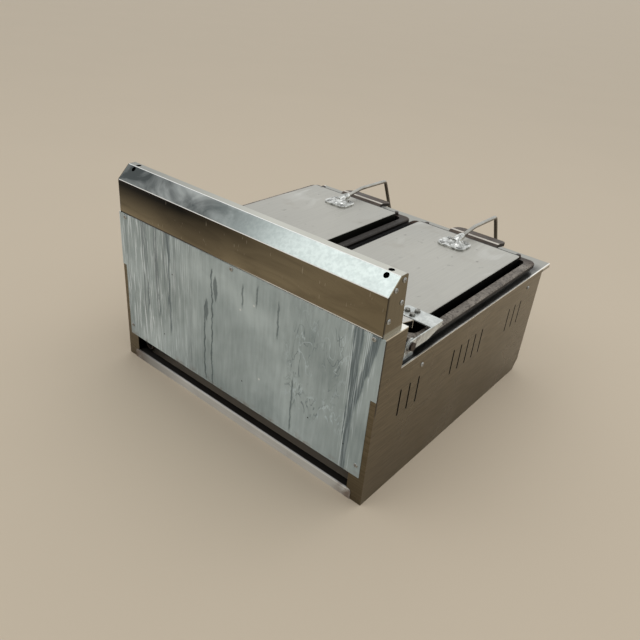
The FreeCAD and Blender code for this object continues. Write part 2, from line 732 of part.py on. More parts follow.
def hinge_plate(lid_edge, arm_face, outwards):
    """Plate on a rear corner of the lid, with an arm along its outer edge back to the pin."""
    lap = lid_edge - outwards * HINGE_PLATE_LAP
    outer_face = arm_face + outwards * ARM_THICKNESS
    front = lid_rear - HINGE_PLATE_LENGTH
    corners = [(lap, front, HINGE_PLATE_CORNER), (outer_face, front, HINGE_PLATE_CORNER / 2),
               (outer_face, lid_rear, 0), (lap, lid_rear, HINGE_PLATE_CORNER)]
    plate = prism(corners, "z", lid_top, hinge_top)
    eye_end = pivot_y + ARM_HALF_HEIGHT
    low = pivot_z - ARM_HALF_HEIGHT
    tip = front + HINGE_PLATE_CORNER / 2
    eye_radius = ARM_HALF_HEIGHT - PIN_CLEARANCE
    profile = [(tip, hinge_top, 0), (tip, hinge_top - ARM_TIP_HEIGHT, 0), (tip + ARM_TAPER, low, 0),
               (eye_end, low, eye_radius), (eye_end, hinge_top, eye_radius)]
    arm = prism(profile, "x", min(arm_face, outer_face), max(arm_face, outer_face))
    bore = pin_bore(PIN_RADIUS + PIN_CLEARANCE, arm_face - 2 * ARM_THICKNESS, arm_face + 2 * ARM_THICKNESS)
    return fused([plate, arm]).cut(bore)


def outer_hinge_plate():
    """Hinge plate on the lid's outer rear corner."""
    return hinge_plate(lid_outer, arm_outer, 1)


def inner_hinge_plate():
    """Hinge plate on the lid's inner rear corner."""
    return hinge_plate(lid_inner, pan_inner - ARM_CLEARANCE, -1)


def hinge_bolts():
    """Three bolts on each hinge plate, in a triangle over the lid."""
    rear = lid_rear - HINGE_BOLT_EDGE
    bolts = []
    for lid_edge, outwards in ((lid_outer, 1), (lid_inner, -1)):
        near = lid_edge - outwards * HINGE_BOLT_STEP
        places = [(near, rear), (near, rear - HINGE_BOLT_STEP - SCREW_HEIGHT),
                  (near - outwards * HINGE_BOLT_STEP, rear - HINGE_BOLT_STEP / 2)]
        for x, y in places:
            bolts.append(hexagon(HINGE_BOLT_ACROSS, HINGE_BOLT_HEIGHT, V(x, y, hinge_top), V(0, 0, 1)))
    return Part.makeCompound(bolts)


# Handles

def bar_points():
    """Places (y, z) of the handle bar: its start in the base, its bend, its corner and its tip."""
    corner_y = lid_front - BAR_CORNER_REACH
    corner_z = lid_top + BAR_CORNER_RISE
    return [(lid_front + HANDLE_BASE_SETBACK, lid_top + BAR_START_RISE),
            (lid_front - BAR_BEND_REACH, lid_top + BAR_BEND_RISE), (corner_y, corner_z),
            (corner_y - BAR_LEG_LENGTH * math.sin(leg_lean), corner_z - BAR_LEG_LENGTH * math.cos(leg_lean))]


def handle_base():
    """Cast base on the lid with a sloping socket for the bar."""
    start, bend = (V(pan_middle, y, z) for y, z in bar_points()[:2])
    along = (bend - start).normalize()
    x0 = pan_middle - HANDLE_BASE_WIDTH / 2
    y0 = start.y - HANDLE_BASE_LENGTH / 2
    plate = prism(rectangle(x0, x0 + HANDLE_BASE_WIDTH, y0, y0 + HANDLE_BASE_LENGTH, HANDLE_BASE_CORNER),
                  "z", lid_top, lid_top + HANDLE_BASE_THICKNESS)
    rear = start - along * BAR_SOCKET_FLOOR
    socket = rod(BAR_SOCKET_RADIUS, rear, rear + along * BAR_SOCKET_LENGTH)
    above = block(x0, x0 + HANDLE_BASE_WIDTH, y0 - BAR_SOCKET_LENGTH, y0 + 2 * HANDLE_BASE_LENGTH,
                  lid_top, lid_top + 2 * HANDLE_BASE_WIDTH)
    bore = rod(BAR_RADIUS + BAR_CLEARANCE, start, start + along * 2 * BAR_SOCKET_LENGTH)
    return fused([plate, socket.common(above)]).cut(bore)


def handle_screws():
    """Four screws at the corners of the handle base."""
    middle = bar_points()[0][0]
    height = lid_top + HANDLE_BASE_THICKNESS
    places = [(x, y) for x in (-HANDLE_SCREW_X, HANDLE_SCREW_X) for y in (-HANDLE_SCREW_Y, HANDLE_SCREW_Y)]
    return Part.makeCompound([screw(V(pan_middle + x, middle + y, height), V(0, 0, 1)) for x, y in places])


def handle_bar():
    """Round bar bent up from the base, level over the front edge and down to its end."""
    points = [V(pan_middle, y, z) for y, z in bar_points()]
    lengths = []
    start = points[0]
    for i, radius in ((1, BAR_BEND_RADIUS), (2, BAR_CORNER_RADIUS)):
        back = (points[i - 1] - points[i]).normalize()
        ahead = (points[i + 1] - points[i]).normalize()
        turn = math.pi - back.getAngle(ahead)
        reach = radius * math.tan(turn / 2)
        bend_start = points[i] + back * reach
        centre = points[i] + (back + ahead).normalize() * (radius / math.cos(turn / 2))
        ring = Part.Face(Part.Wire(Part.makeCircle(BAR_RADIUS, bend_start, back)))
        lengths.append(rod(BAR_RADIUS, start, bend_start))
        lengths.append(ring.revolve(centre, ahead.cross(back), math.degrees(turn)))
        start = points[i] + ahead * reach
    lengths.append(rod(BAR_RADIUS, start, points[-1]))
    return fused(lengths)


# Knobs and gas train

def knob():
    """Round knob with a grip bar across its face, bored for the spindle."""
    back = y_panel - KNOB_GAP
    axis = V(pan_middle, 0, burner_z)
    disc = rod(KNOB_RADIUS, axis + V(0, back, 0), axis + V(0, back - KNOB_DISC, 0))
    grip = block(pan_middle - KNOB_GRIP_WIDTH / 2, pan_middle + KNOB_GRIP_WIDTH / 2, back - KNOB_LENGTH, back,
                 burner_z - KNOB_GRIP_HALF, burner_z + KNOB_GRIP_HALF)
    bore = rod(SPINDLE_RADIUS + SPINDLE_CLEARANCE, axis + V(0, back + SHEET, 0),
               axis + V(0, back - KNOB_LENGTH + KNOB_FACE, 0))
    return fused([disc, grip]).cut(bore)


def knob_spindle():
    """Spindle from the gas cock through the front panel into the knob."""
    axis = V(pan_middle, 0, burner_z)
    return rod(SPINDLE_RADIUS, axis + V(0, y_side_front + SPINDLE_IN_COCK, 0),
               axis + V(0, y_panel - KNOB_GAP - KNOB_LENGTH + KNOB_FACE, 0))


def gas_cock():
    """Plug cock behind the front panel, with a flange on the panel and a foot on the riser."""
    axis = V(pan_middle, 0, burner_z)
    front = axis + V(0, y_side_front, 0)
    body = block(pan_middle - COCK_HALF, pan_middle + COCK_HALF, y_side_front, y_side_front + COCK_LENGTH,
                 burner_z - COCK_HALF, burner_z + COCK_HALF)
    flange = hexagon(COCK_FLANGE_ACROSS, COCK_FLANGE, front, V(0, 1, 0))
    low = front + V(0, COCK_LENGTH / 2, -COCK_FOOT_DROP)
    foot = hexagon(COCK_FOOT_ACROSS, COCK_FOOT_DROP, low, V(0, 0, 1))
    bore = rod(SPINDLE_RADIUS + SPINDLE_CLEARANCE, front - V(0, SHEET, 0), front + V(0, SPINDLE_IN_COCK, 0))
    return fused([body, flange, foot]).cut(bore)


def injector():
    """Gas injector on the cock's outlet, its nose in the mouth of the mixing tube."""
    base = V(pan_middle, y_side_front + COCK_LENGTH, burner_z)
    body = hexagon(INJECTOR_ACROSS, INJECTOR_HEX, base, V(0, 1, 0))
    nose = hexagon(INJECTOR_NOSE_ACROSS, INJECTOR_NOSE, base + V(0, INJECTOR_HEX, 0), V(0, 1, 0))
    return fused([body, nose])


def gas_manifold():
    """Pipe across the front with a riser to each cock."""
    y = y_side_front + COCK_LENGTH / 2
    end = half_width - PIPE_INSET - ELBOW_HALF
    pipe = rod(PIPE_RADIUS, V(-pan_middle - MANIFOLD_TAIL, y, pipe_z), V(end, y, pipe_z))
    riser = rod(RISER_RADIUS, V(pan_middle, y, pipe_z), V(pan_middle, y, burner_z - COCK_FOOT_DROP))
    return fused([pipe, riser, mirrored(riser)])


def gas_inlet_pipe():
    """Elbow on the manifold's end and a straight pipe back to the slot at the rear, open at its end."""
    x = half_width - PIPE_INSET
    y = y_side_front + COCK_LENGTH / 2
    elbow = block(x - ELBOW_HALF, x + ELBOW_HALF, y - ELBOW_HALF, y + ELBOW_HALF,
                  pipe_z - ELBOW_HALF, pipe_z + ELBOW_HALF)
    mouth = V(x, y_back - PIPE_END_SETBACK, pipe_z)
    straight = rod(PIPE_RADIUS, V(x, y, pipe_z), mouth)
    bore = rod(PIPE_BORE_RADIUS, mouth - V(0, PIPE_BORE_DEPTH, 0), mouth + V(0, SHEET, 0))
    return fused([elbow, straight]).cut(bore)


# Burners and heat shields

def burner():
    """Two slotted box bars joined at the front by a cross bar, with a flared mixing tube to the injector."""
    front = pan_front + BURNER_FRONT_MARGIN
    rear = pan_rear - BURNER_REAR_MARGIN
    low = burner_z - BURNER_HALF
    high = burner_z + BURNER_HALF
    middles = (pan_middle - BURNER_SPREAD, pan_middle + BURNER_SPREAD)
    bars = [block(x - BURNER_HALF, x + BURNER_HALF, front, rear, low, high) for x in middles]
    cross = block(middles[0], middles[1], front, front + 2 * BURNER_HALF, low, high)
    mouth = V(pan_middle, y_side_front + COCK_LENGTH + INJECTOR_HEX + INJECTOR_NOSE - MIXER_LAP, burner_z)
    neck = rod(MIXER_RADIUS, mouth + V(0, MIXER_FLARE / 2, 0), V(pan_middle, front + BURNER_HALF, burner_z))
    bell = Part.makeCone(MIXER_MOUTH_RADIUS, MIXER_RADIUS, MIXER_FLARE, mouth, V(0, 1, 0))
    throat = Part.makeCone(MIXER_MOUTH_RADIUS - MIXER_WALL, MIXER_RADIUS - MIXER_WALL, MIXER_FLARE, mouth,
                           V(0, 1, 0))
    ports = [block(x - PORT_WIDTH / 2, x + PORT_WIDTH / 2, front + PORT_END_MARGIN, rear - PORT_END_MARGIN,
                   high - PORT_DEPTH, high + PORT_DEPTH) for x in middles]
    return fused(bars + [cross, neck, bell]).cut(Part.makeCompound(ports + [throat]))


def burner_rest(y):
    """Angle across the cabinet between the heat shields, under the burner bars."""
    path = [(y + REST_WIDTH, rest_top), (y, rest_top), (y, rest_top - REST_HEIGHT)]
    return folded(path, "x", -shield_face, shield_face)


def heat_shield():
    """Channel on the inside of the right side panel, with an air gap behind it."""
    low = shield_top - SHIELD_HEIGHT
    path = [(web_inside, shield_top), (shield_face, shield_top), (shield_face, low), (web_inside, low)]
    return folded(path, "y", pan_front + SHIELD_END_MARGIN, pan_rear - SHIELD_END_MARGIN)


def centre_heat_shield():
    """Angle between the two burners, standing on the burner rests."""
    path = [(0, shield_top), (0, rest_top), (CENTRE_SHIELD_FOOT, rest_top)]
    return folded(path, "y", pan_front + SHIELD_END_MARGIN, pan_rear - SHIELD_END_MARGIN)


# Assembly

SINGLE_PIECES = {
    "rear_sill": rear_sill,
    "front_sill": front_sill,
    "back_plate": back_plate,
    "back_plate_screws": back_plate_screws,
    "side_screws": side_screws,
    "top_deck": top_deck,
    "front_panel": front_panel,
    "front_panel_screws": front_panel_screws,
    "flue_wall": flue_wall,
    "hinge_cover": hinge_cover,
    "rear_box_shell": rear_box_shell,
    "rear_box_end_screws": rear_box_end_screws,
    "pan_rim_bolts": pan_rim_bolts,
    "centre_hinge_bracket": centre_hinge_bracket,
    "hinge_bracket_screws": bracket_screws,
    "hinge_pins": hinge_pins,
    "hinge_nuts": hinge_nuts,
    "gas_manifold": gas_manifold,
    "gas_inlet_pipe": gas_inlet_pipe,
    "centre_heat_shield": centre_heat_shield,
}

PAIRED_PIECES = {
    "side_panel": side_panel,
    "rear_box_end": rear_box_end,
    "pan": pan,
    "hinge_bracket": hinge_bracket,
    "lid_panel": lid_panel,
    "lid_outer_hinge_plate": outer_hinge_plate,
    "lid_inner_hinge_plate": inner_hinge_plate,
    "lid_hinge_bolts": hinge_bolts,
    "handle_base": handle_base,
    "handle_screws": handle_screws,
    "handle_bar": handle_bar,
    "knob": knob,
    "knob_spindle": knob_spindle,
    "gas_cock": gas_cock,
    "gas_injector": injector,
    "burner": burner,
    "heat_shield": heat_shield,
}


def main():
    """Build every piece and write each to its own file."""
    pieces = {name: build() for name, build in SINGLE_PIECES.items()}
    pieces["front_burner_rest"] = burner_rest(pan_front + BURNER_FRONT_MARGIN + REST_MARGIN)
    pieces["rear_burner_rest"] = burner_rest(pan_rear - BURNER_REAR_MARGIN - REST_MARGIN)
    for name, build in PAIRED_PIECES.items():
        shape = build()
        pieces["right_" + name] = shape
        pieces["left_" + name] = mirrored(shape)
    os.makedirs("parts", exist_ok=True)
    for name, shape in pieces.items():
        shape.exportStep("parts/" + name + ".step")


main()
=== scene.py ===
"""Looks of a countertop gas griddle: finishes, fasteners, handle bases, knobs, floor, light and camera."""
import bmesh
import bpy
import math
from mathutils import Matrix, Vector


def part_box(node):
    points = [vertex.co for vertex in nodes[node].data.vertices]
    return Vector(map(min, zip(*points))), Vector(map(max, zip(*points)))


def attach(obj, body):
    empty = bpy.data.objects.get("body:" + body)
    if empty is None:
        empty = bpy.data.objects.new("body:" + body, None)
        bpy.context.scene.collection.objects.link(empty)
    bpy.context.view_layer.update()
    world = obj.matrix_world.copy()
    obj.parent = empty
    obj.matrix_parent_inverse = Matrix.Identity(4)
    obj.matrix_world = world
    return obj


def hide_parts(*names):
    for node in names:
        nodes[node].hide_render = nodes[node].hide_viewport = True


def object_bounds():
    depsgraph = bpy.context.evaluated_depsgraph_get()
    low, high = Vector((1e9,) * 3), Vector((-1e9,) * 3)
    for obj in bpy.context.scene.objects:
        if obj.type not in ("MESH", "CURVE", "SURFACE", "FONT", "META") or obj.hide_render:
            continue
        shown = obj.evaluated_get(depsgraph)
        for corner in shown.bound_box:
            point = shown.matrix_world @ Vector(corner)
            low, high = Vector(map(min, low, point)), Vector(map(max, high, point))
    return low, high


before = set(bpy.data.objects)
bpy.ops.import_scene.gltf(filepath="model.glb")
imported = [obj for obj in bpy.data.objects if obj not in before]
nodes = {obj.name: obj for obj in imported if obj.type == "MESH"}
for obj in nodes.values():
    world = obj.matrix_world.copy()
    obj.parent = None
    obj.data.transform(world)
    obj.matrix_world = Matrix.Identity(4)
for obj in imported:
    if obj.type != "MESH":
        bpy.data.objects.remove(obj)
cad_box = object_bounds()
SIDES = ("left_", "right_")

# Camera
CAMERA_EYE = Vector((-0.6652, 0.9603, 0.7449))
CAMERA_FORWARD = Vector((0.52804, -0.68520, -0.50166))
CAMERA_RIGHT = Vector((-0.75968, -0.64516, 0.08158))
CAMERA_LENS = 35.41
CAMERA_SENSOR = 36.0

# Floor and light, with each lamp's name, place, target, width, height and radiance
FLOOR_HALF = 40.0
FLOOR_COLOUR = (198, 184, 164)
FLOOR_CLOUDS = (0.985, 1.015)
WORLD_BRIGHT_SIDE = (0.0, -0.80, 0.60)
WORLD_LOW = 0.42
WORLD_HIGH = 0.98
SKY_TINT = (0.985, 0.995, 0.985, 1.0)
WATTS_PER_RADIANCE = math.pi
LAMPS = (
    ("key", (0.9, 1.6, 2.3), (0.0, 0.1, 0.2), 1.4, 1.4, 1.0),
    ("overhead", (-0.8, -0.6, 2.6), (0.0, 0.0, 0.2), 1.8, 1.2, 1.2),
)

# Sockets of the colour mix node
MIX_FACTOR, MIX_FIRST, MIX_SECOND, MIX_RESULT = 0, 6, 7, 2

# Span that most values of a pattern lie in
PATTERN_SPAN = (0.3, 0.7)


def srgb(red, green, blue):
    """Linear colour of an 8-bit display colour."""
    shares = [value / 255 for value in (red, green, blue)]
    linear = [s / 12.92 if s <= 0.04045 else ((s + 0.055) / 1.055) ** 2.4 for s in shares]
    return (*linear, 1.0)


def scaled(colour, factor):
    """Linear colour made lighter or darker."""
    return (*(channel * factor for channel in colour[:3]), 1.0)


class Finish:
    """Node material with one Principled shader, fed socket by socket."""

    def __init__(self, name, metallic=0.0, roughness=0.5):
        self.material = bpy.data.materials.new(name)
        self.material.use_nodes = True
        self.tree = self.material.node_tree
        self.shader = self.tree.nodes["Principled BSDF"]
        self.set("Metallic", metallic)
        self.set("Roughness", roughness)
        coordinates = self.tree.nodes.new("ShaderNodeTexCoord")
        self.place = coordinates.outputs["Object"]
        split = self.add("ShaderNodeSeparateXYZ", {0: self.place})
        self.x, self.y, self.z = split.outputs
        facing = self.add("ShaderNodeSeparateXYZ", {0: coordinates.outputs["Normal"]})
        self.facing_x, self.facing_y, self.facing_z = facing.outputs

    def add(self, kind, inputs, **settings):
        """New node with its settings and its inputs, each a socket or a value."""
        node = self.tree.nodes.new(kind)
        for key, value in settings.items():
            setattr(node, key, value)
        for key, value in inputs.items():
            self.feed(node.inputs[key], value)
        return node

    def feed(self, socket, value):
        """Link a socket to another, or give it a value."""
        if isinstance(value, bpy.types.NodeSocket):
            self.tree.links.new(value, socket)
        else:
            socket.default_value = value

    def set(self, name, value):
        """Feed one of the shader's own inputs."""
        self.feed(self.shader.inputs[name], value)

    def math(self, operation, first, second=0.0):
        """Result of one sum on sockets or numbers."""
        return self.add("ShaderNodeMath", {0: first, 1: second}, operation=operation).outputs[0]

    def chain(self, operation, values):
        """Result of the same sum over several sockets or numbers."""
        result = values[0]
        for value in values[1:]:
            result = self.math(operation, result, value)
        return result

    def plus(self, *terms):
        """Sum of sockets or numbers."""
        return self.chain("ADD", terms)

    def times(self, *factors):
        """Product of sockets or numbers."""
        return self.chain("MULTIPLY", factors)

    def most(self, *values):
        """Largest of several sockets."""
        return self.chain("MAXIMUM", values)

    def less(self, value, taken):
        """Difference of sockets or numbers."""
        return self.math("SUBTRACT", value, taken)

    def size(self, value):
        """Value without its sign."""
        return self.math("ABSOLUTE", value)

    def ramp(self, value, start, end, low=0.0, high=1.0):
        """Value carried from one span to another, held at its ends."""
        return self.add("ShaderNodeMapRange", {0: value, 1: start, 2: end, 3: low, 4: high}).outputs[0]

    def follow(self, pattern, low=0.0, high=1.0):
        """Value that follows a pattern from low to high."""
        return self.ramp(pattern, *PATTERN_SPAN, low, high)

    def noise(self, scale, stretch=(1, 1, 1), detail=3.0, distortion=0.0, shift=(0, 0, 0)):
        """Cloudy pattern, drawn out along some axes."""
        spans = {0: self.place, 1: stretch, 2: shift}
        spread = self.add("ShaderNodeVectorMath", spans, operation="MULTIPLY_ADD")
        inputs = {"Vector": spread.outputs[0], "Scale": scale, "Detail": detail, "Distortion": distortion}
        return self.add("ShaderNodeTexNoise", inputs).outputs[0]

    def cells(self, scale):
        """Distance to the nearest of scattered points."""
        return self.add("ShaderNodeTexVoronoi", {"Vector": self.place, "Scale": scale}).outputs[0]

    def mix(self, share, first, second):
        """Colour between two colours."""
        inputs = {MIX_FACTOR: share, MIX_FIRST: first, MIX_SECOND: second}
        return self.add("ShaderNodeMix", inputs, data_type="RGBA").outputs[MIX_RESULT]

    def stain(self, colour, mask, share, tone):
        """Colour with a share of another tone laid over it where a mask is."""
        return self.mix(self.times(mask, share), colour, tone)

    def band(self, value, middle, half, soft):
        """One inside a band about its middle, fading to zero outside it."""
        return self.ramp(self.size(self.less(value, middle)), half, half + soft, 1.0, 0.0)

    def between(self, value, low, high, soft):
        """One between two limits, fading to zero outside them."""
        return self.band(value, (low + high) / 2, (high - low) / 2, soft)

    def bump(self, height, depth):
        """Small relief of a given depth."""
        node = self.add("ShaderNodeBump", {"Height": height, "Distance": depth, "Strength": 1.0})
        self.set("Normal", node.outputs[0])


# Brushed sheet: stretch of its grain along X, Y and Z, its darkest and lightest share of a tone, its depth
GRAIN_ALONG_X = (5, 700, 700)
GRAIN_ALONG_Y = (700, 5, 700)
GRAIN_ALONG_Z = (700, 700, 5)
GRAIN_DARK = 0.80
GRAIN_LIGHT = 1.10
GRAIN_DEPTH = 0.00003

# Faces whose normals point up by this share count as level
LEVEL = (0.90, 0.97)


def brushed(name, tone, grain, rough=(0.24, 0.36)):
    """Brushed sheet steel: fine grain, cloudy smears and a few dull patches."""
    finish = Finish(name, metallic=1.0)
    lines = finish.noise(1.0, stretch=grain, detail=2.0)
    smears = finish.noise(9.0, detail=5.0, distortion=0.6)
    patches = finish.ramp(finish.noise(38.0, detail=4.0), 0.62, 0.74)
    share = finish.plus(finish.times(lines, 0.55), finish.times(smears, 0.45))
    colour = finish.mix(finish.ramp(share, 0.25, 0.75), scaled(tone, GRAIN_DARK), scaled(tone, GRAIN_LIGHT))
    finish.colour = finish.stain(colour, patches, 0.25, scaled(tone, 0.6))
    finish.set("Base Color", finish.colour)
    finish.set("Roughness", finish.follow(smears, *rough))
    finish.bump(lines, GRAIN_DEPTH)
    return finish


# Cooling slits in the side panels, in metres: middles of their groups along y, and their span up z
SLIT_MIDDLES = (0.2470, 0.0620, -0.1230)
SLIT_COUNTS = (3, 5, 3)
SLIT_PITCH = 0.0253
SLIT_HALF = 0.0020
SLIT_RISE = (0.1435, 0.1930)
SLIT_SOFT = 0.0003

# Side panels, in metres: painted shadow along the rear edge along y, and up z its foot, the fall of the
# painted shade towards the floor and the painted highlight of the top edge
SIDE_SHADE_FALL = (0.22, 0.0)
SIDE_REAR_SHADOW = (0.3340, 0.3362)
SIDE_REAR_SHADOW_FOOT = (0.172, 0.182)
SIDE_TOP_HIGHLIGHT = (0.3055, 0.3064)


def slit_shade_mask(finish):
    """Painted shade in the cooling slits and in a thin band round them."""
    slits = []
    for middle, count in zip(SLIT_MIDDLES, SLIT_COUNTS):
        for i in range(count):
            place = middle + (i - (count - 1) / 2) * SLIT_PITCH
            slits.append(finish.band(finish.y, place, SLIT_HALF, SLIT_SOFT))
    return finish.times(finish.most(*slits), finish.between(finish.z, *SLIT_RISE, SLIT_SOFT))


def side_steel():
    """Side panels: short grain along the depth, painted shade towards the floor and along the rear edge,
    painted highlights on the top edges, painted shade in the slits.
    """
    finish = brushed("side_steel", srgb(132, 122, 103), GRAIN_ALONG_Y, rough=(0.24, 0.38))
    coarse = finish.noise(1.0, stretch=(1, 26, 400), detail=3.0, distortion=0.2)
    colour = finish.mix(finish.ramp(coarse, 0.36, 0.66, 0.0, 0.50), finish.colour, srgb(84, 77, 64))
    # Painted shade: darker towards the floor.
    colour = finish.mix(finish.ramp(finish.z, *SIDE_SHADE_FALL, 0.0, 0.45), colour, srgb(84, 76, 62))
    outward = finish.ramp(finish.size(finish.facing_x), 0.5, 0.7)
    # Painted shadow: a dark line along the rear edge, where the panel meets the back plate.
    rear_edge_shadow = finish.times(finish.ramp(finish.y, *SIDE_REAR_SHADOW), finish.ramp(finish.z, *SIDE_REAR_SHADOW_FOOT))
    colour = finish.stain(colour, finish.times(outward, rear_edge_shadow), 0.85, srgb(40, 37, 33))
    # Painted highlight: a bright line along the top edges.
    colour = finish.mix(finish.ramp(finish.z, *SIDE_TOP_HIGHLIGHT), colour, srgb(242, 240, 232))
    # Painted shade: black in and round the cooling slits.
    finish.set("Base Color", finish.mix(slit_shade_mask(finish), colour, srgb(5, 5, 5)))
    return finish.material


# Top deck, in metres: front strip and rear grease along y, gutter strips and the painted highlight of the
# side edges across x, that highlight's rise up z
DECK_STRIP_END = (-0.238, -0.205)
DECK_REAR_GREASE = (0.205, 0.235)
DECK_OUTER_GUTTER = (0.270, 0.280)
DECK_GUTTER_FADE = (0.288, 0.2975)
DECK_MIDDLE_GUTTER = (0.016, 0.010)
DECK_EDGE_HIGHLIGHT = (0.2972, 0.2980)
DECK_HIGHLIGHT_RISE = (0.2345, 0.2355)


def deck_steel():
    """Top deck: light front strip, painted shade with grease in the gutter strips beside and between the
    pans, grease behind them, painted highlights on the side edges.
    """
    finish = brushed("deck_steel", srgb(166, 165, 158), GRAIN_ALONG_X, rough=(0.26, 0.38))
    # Painted shade with grease: darker in the strips beside and between the pans.
    across = finish.size(finish.x)
    beside = finish.ramp(across, *DECK_OUTER_GUTTER)
    beside = finish.times(beside, finish.ramp(across, *DECK_GUTTER_FADE, 1.0, 0.55))
    gutter_shade_and_grease = finish.most(beside, finish.ramp(across, *DECK_MIDDLE_GUTTER))
    gutter_shade_and_grease = finish.times(gutter_shade_and_grease, finish.ramp(finish.y, *DECK_STRIP_END))
    grease = finish.most(gutter_shade_and_grease, finish.ramp(finish.y, *DECK_REAR_GREASE))
    cloud = finish.ramp(finish.noise(45.0, detail=4.0), 0.25, 0.70, 0.80, 1.0)
    grease = finish.times(grease, finish.ramp(finish.facing_z, *LEVEL), cloud)
    colour = finish.mix(grease, finish.colour, srgb(44, 45, 47))
    # Painted highlight: a bright line along the side edges.
    edge = finish.times(finish.ramp(across, *DECK_EDGE_HIGHLIGHT), finish.ramp(finish.z, *DECK_HIGHLIGHT_RISE))
    finish.set("Base Color", finish.mix(edge, colour, srgb(250, 248, 242)))
    return finish.material


def front_steel():
    """Front panel and sill: grain across the width."""
    return brushed("front_steel", srgb(186, 182, 174), GRAIN_ALONG_X).material


# Span along y, in metres, over which the hinge cover gets greasy
COVER_GREASE = (0.262, 0.246)


def cover_steel():
    """Hinge cover: pale sheet with heat tint and grease towards the hinges."""
    finish = brushed("cover_steel", srgb(200, 198, 192), GRAIN_ALONG_X, rough=(0.22, 0.34))
    grease = finish.ramp(finish.y, *COVER_GREASE)
    grease = finish.times(grease, finish.ramp(finish.noise(40.0), 0.35, 0.65))
    finish.set("Base Color", finish.stain(finish.colour, grease, 0.6, srgb(96, 78, 60)))
    return finish.material


# Flue box, in metres: changes of tone across x, among them painted reflection and the painted shadow and
# highlight at the foot, and up z the painted dark reflection and the foot line
BOX_TOP_SHADE = (-0.06, 0.24)
BOX_LIT_END = (0.08, -0.14)
BOX_DARK_REFLECTION_END = (-0.24, 0.12)
BOX_DARK_REFLECTION_RISE = (0.306, 0.362)
BOX_FOOT = (0.3112, 0.3102)
BOX_FOOT_SHADOW = (0.02, 0.10)
BOX_FOOT_HIGHLIGHT = (0.02, -0.08)

# Bends of the flue box, where painted highlights lie, as low and high share of the normal that points up, and
# the fade beside them
BOX_LOWER_BEND = (0.16, 0.56, 0.06)
BOX_UPPER_BEND = (0.79, 0.95, 0.03)

# Span along y, in metres, over which the end caps get darker
CAP_REAR_EDGE = (0.3355, 0.3385)


def polished_box():
    """Flue box: dark mirror-like rear face with a painted dark reflection, scuffed chamfer with painted
    reflection, pale top, painted highlights along the bend lines and the foot, and a painted shadow along the
    foot.
    """
    finish = Finish("polished_box")
    smears = finish.noise(11.0, stretch=(0.6, 1, 1), detail=6.0, distortion=1.2)
    upward = finish.ramp(finish.facing_z, 0.40, 0.60)
    colour = finish.mix(upward, box_rear(finish), box_chamfer(finish, smears))
    top = finish.mix(finish.ramp(finish.x, *BOX_TOP_SHADE), srgb(204, 203, 194), srgb(152, 152, 145))
    colour = finish.mix(finish.ramp(finish.facing_z, *LEVEL), colour, top)
    # Foot line where the flue box meets the back plate: painted shadow at one end, painted highlight at the
    # other.
    foot = finish.times(finish.ramp(finish.z, *BOX_FOOT), finish.ramp(finish.facing_y, 0.5, 0.8))
    dark = finish.times(foot, finish.ramp(finish.x, *BOX_FOOT_SHADOW))
    colour = finish.mix(dark, colour, srgb(30, 27, 24))
    # Painted highlights along the bend lines.
    bend_highlights = [finish.between(finish.facing_z, *bend) for bend in (BOX_LOWER_BEND, BOX_UPPER_BEND)]
    bend_highlights = finish.times(finish.most(*bend_highlights), finish.ramp(finish.facing_y, 0.05, 0.20))
    bright = finish.most(bend_highlights, finish.times(foot, finish.ramp(finish.x, *BOX_FOOT_HIGHLIGHT)))
    finish.set("Base Color", finish.mix(bright, colour, srgb(252, 252, 250)))
    finish.set("Metallic", finish.ramp(bright, 0.0, 1.0, 1.0, 0.15))
    mirror = finish.ramp(smears, 0.35, 0.70, 0.09, 0.18)
    scuffed = finish.ramp(smears, 0.35, 0.70, 0.30, 0.44)
    finish.set("Roughness", finish.plus(finish.times(upward, finish.less(scuffed, mirror)), mirror))
    finish.bump(finish.noise(5.0, stretch=(0.5, 1, 1), detail=1.0), 0.0004)
    return finish.material


def box_rear(finish):
    """Colour of the flue box's rear face: brownish film, a painted dark reflection towards one end, a few
    nicks.
    """
    film = finish.noise(4.0, stretch=(0.5, 1, 1), detail=3.0, distortion=0.4)
    colour = finish.mix(finish.ramp(film, 0.35, 0.65), srgb(112, 103, 86), srgb(152, 143, 123))
    drawn = finish.noise(1.0, stretch=(9, 1, 46), detail=5.0, distortion=0.8)
    colour = finish.mix(finish.ramp(drawn, 0.42, 0.72, 0.0, 0.40), colour, srgb(70, 62, 50))
    # Painted dark reflection towards one end of the rear face.
    dark_reflection = finish.times(finish.ramp(finish.x, *BOX_DARK_REFLECTION_END), finish.ramp(finish.z, *BOX_DARK_REFLECTION_RISE))
    colour = finish.mix(dark_reflection, colour, srgb(18, 18, 18))
    nicks = finish.ramp(finish.noise(1.0, stretch=(420, 60, 60), detail=1.0), 0.75, 0.77)
    return finish.stain(colour, nicks, 0.30, srgb(226, 222, 214))


def box_chamfer(finish, smears):
    """Colour of the flue box's chamfer: smeared grey at one end, scuffed white at the other; the change from
    one end to the other is painted reflection.
    """
    mottle = finish.ramp(finish.noise(170.0, detail=4.0, distortion=0.4), 0.38, 0.62)
    smeared = finish.mix(finish.ramp(smears, 0.42, 0.60), srgb(80, 85, 85), srgb(174, 178, 176))
    scuffed = finish.stain(srgb(196, 206, 203), mottle, 0.45, srgb(228, 237, 233))
    streaks = finish.noise(14.0, stretch=(0.35, 1, 1), detail=5.0)
    scuffed = finish.mix(finish.ramp(streaks, 0.35, 0.65, 0.0, 0.35), scuffed, srgb(178, 186, 186))
    # Painted reflection: the chamfer lighter towards one end.
    return finish.mix(finish.ramp(finish.x, *BOX_LIT_END), smeared, scuffed)


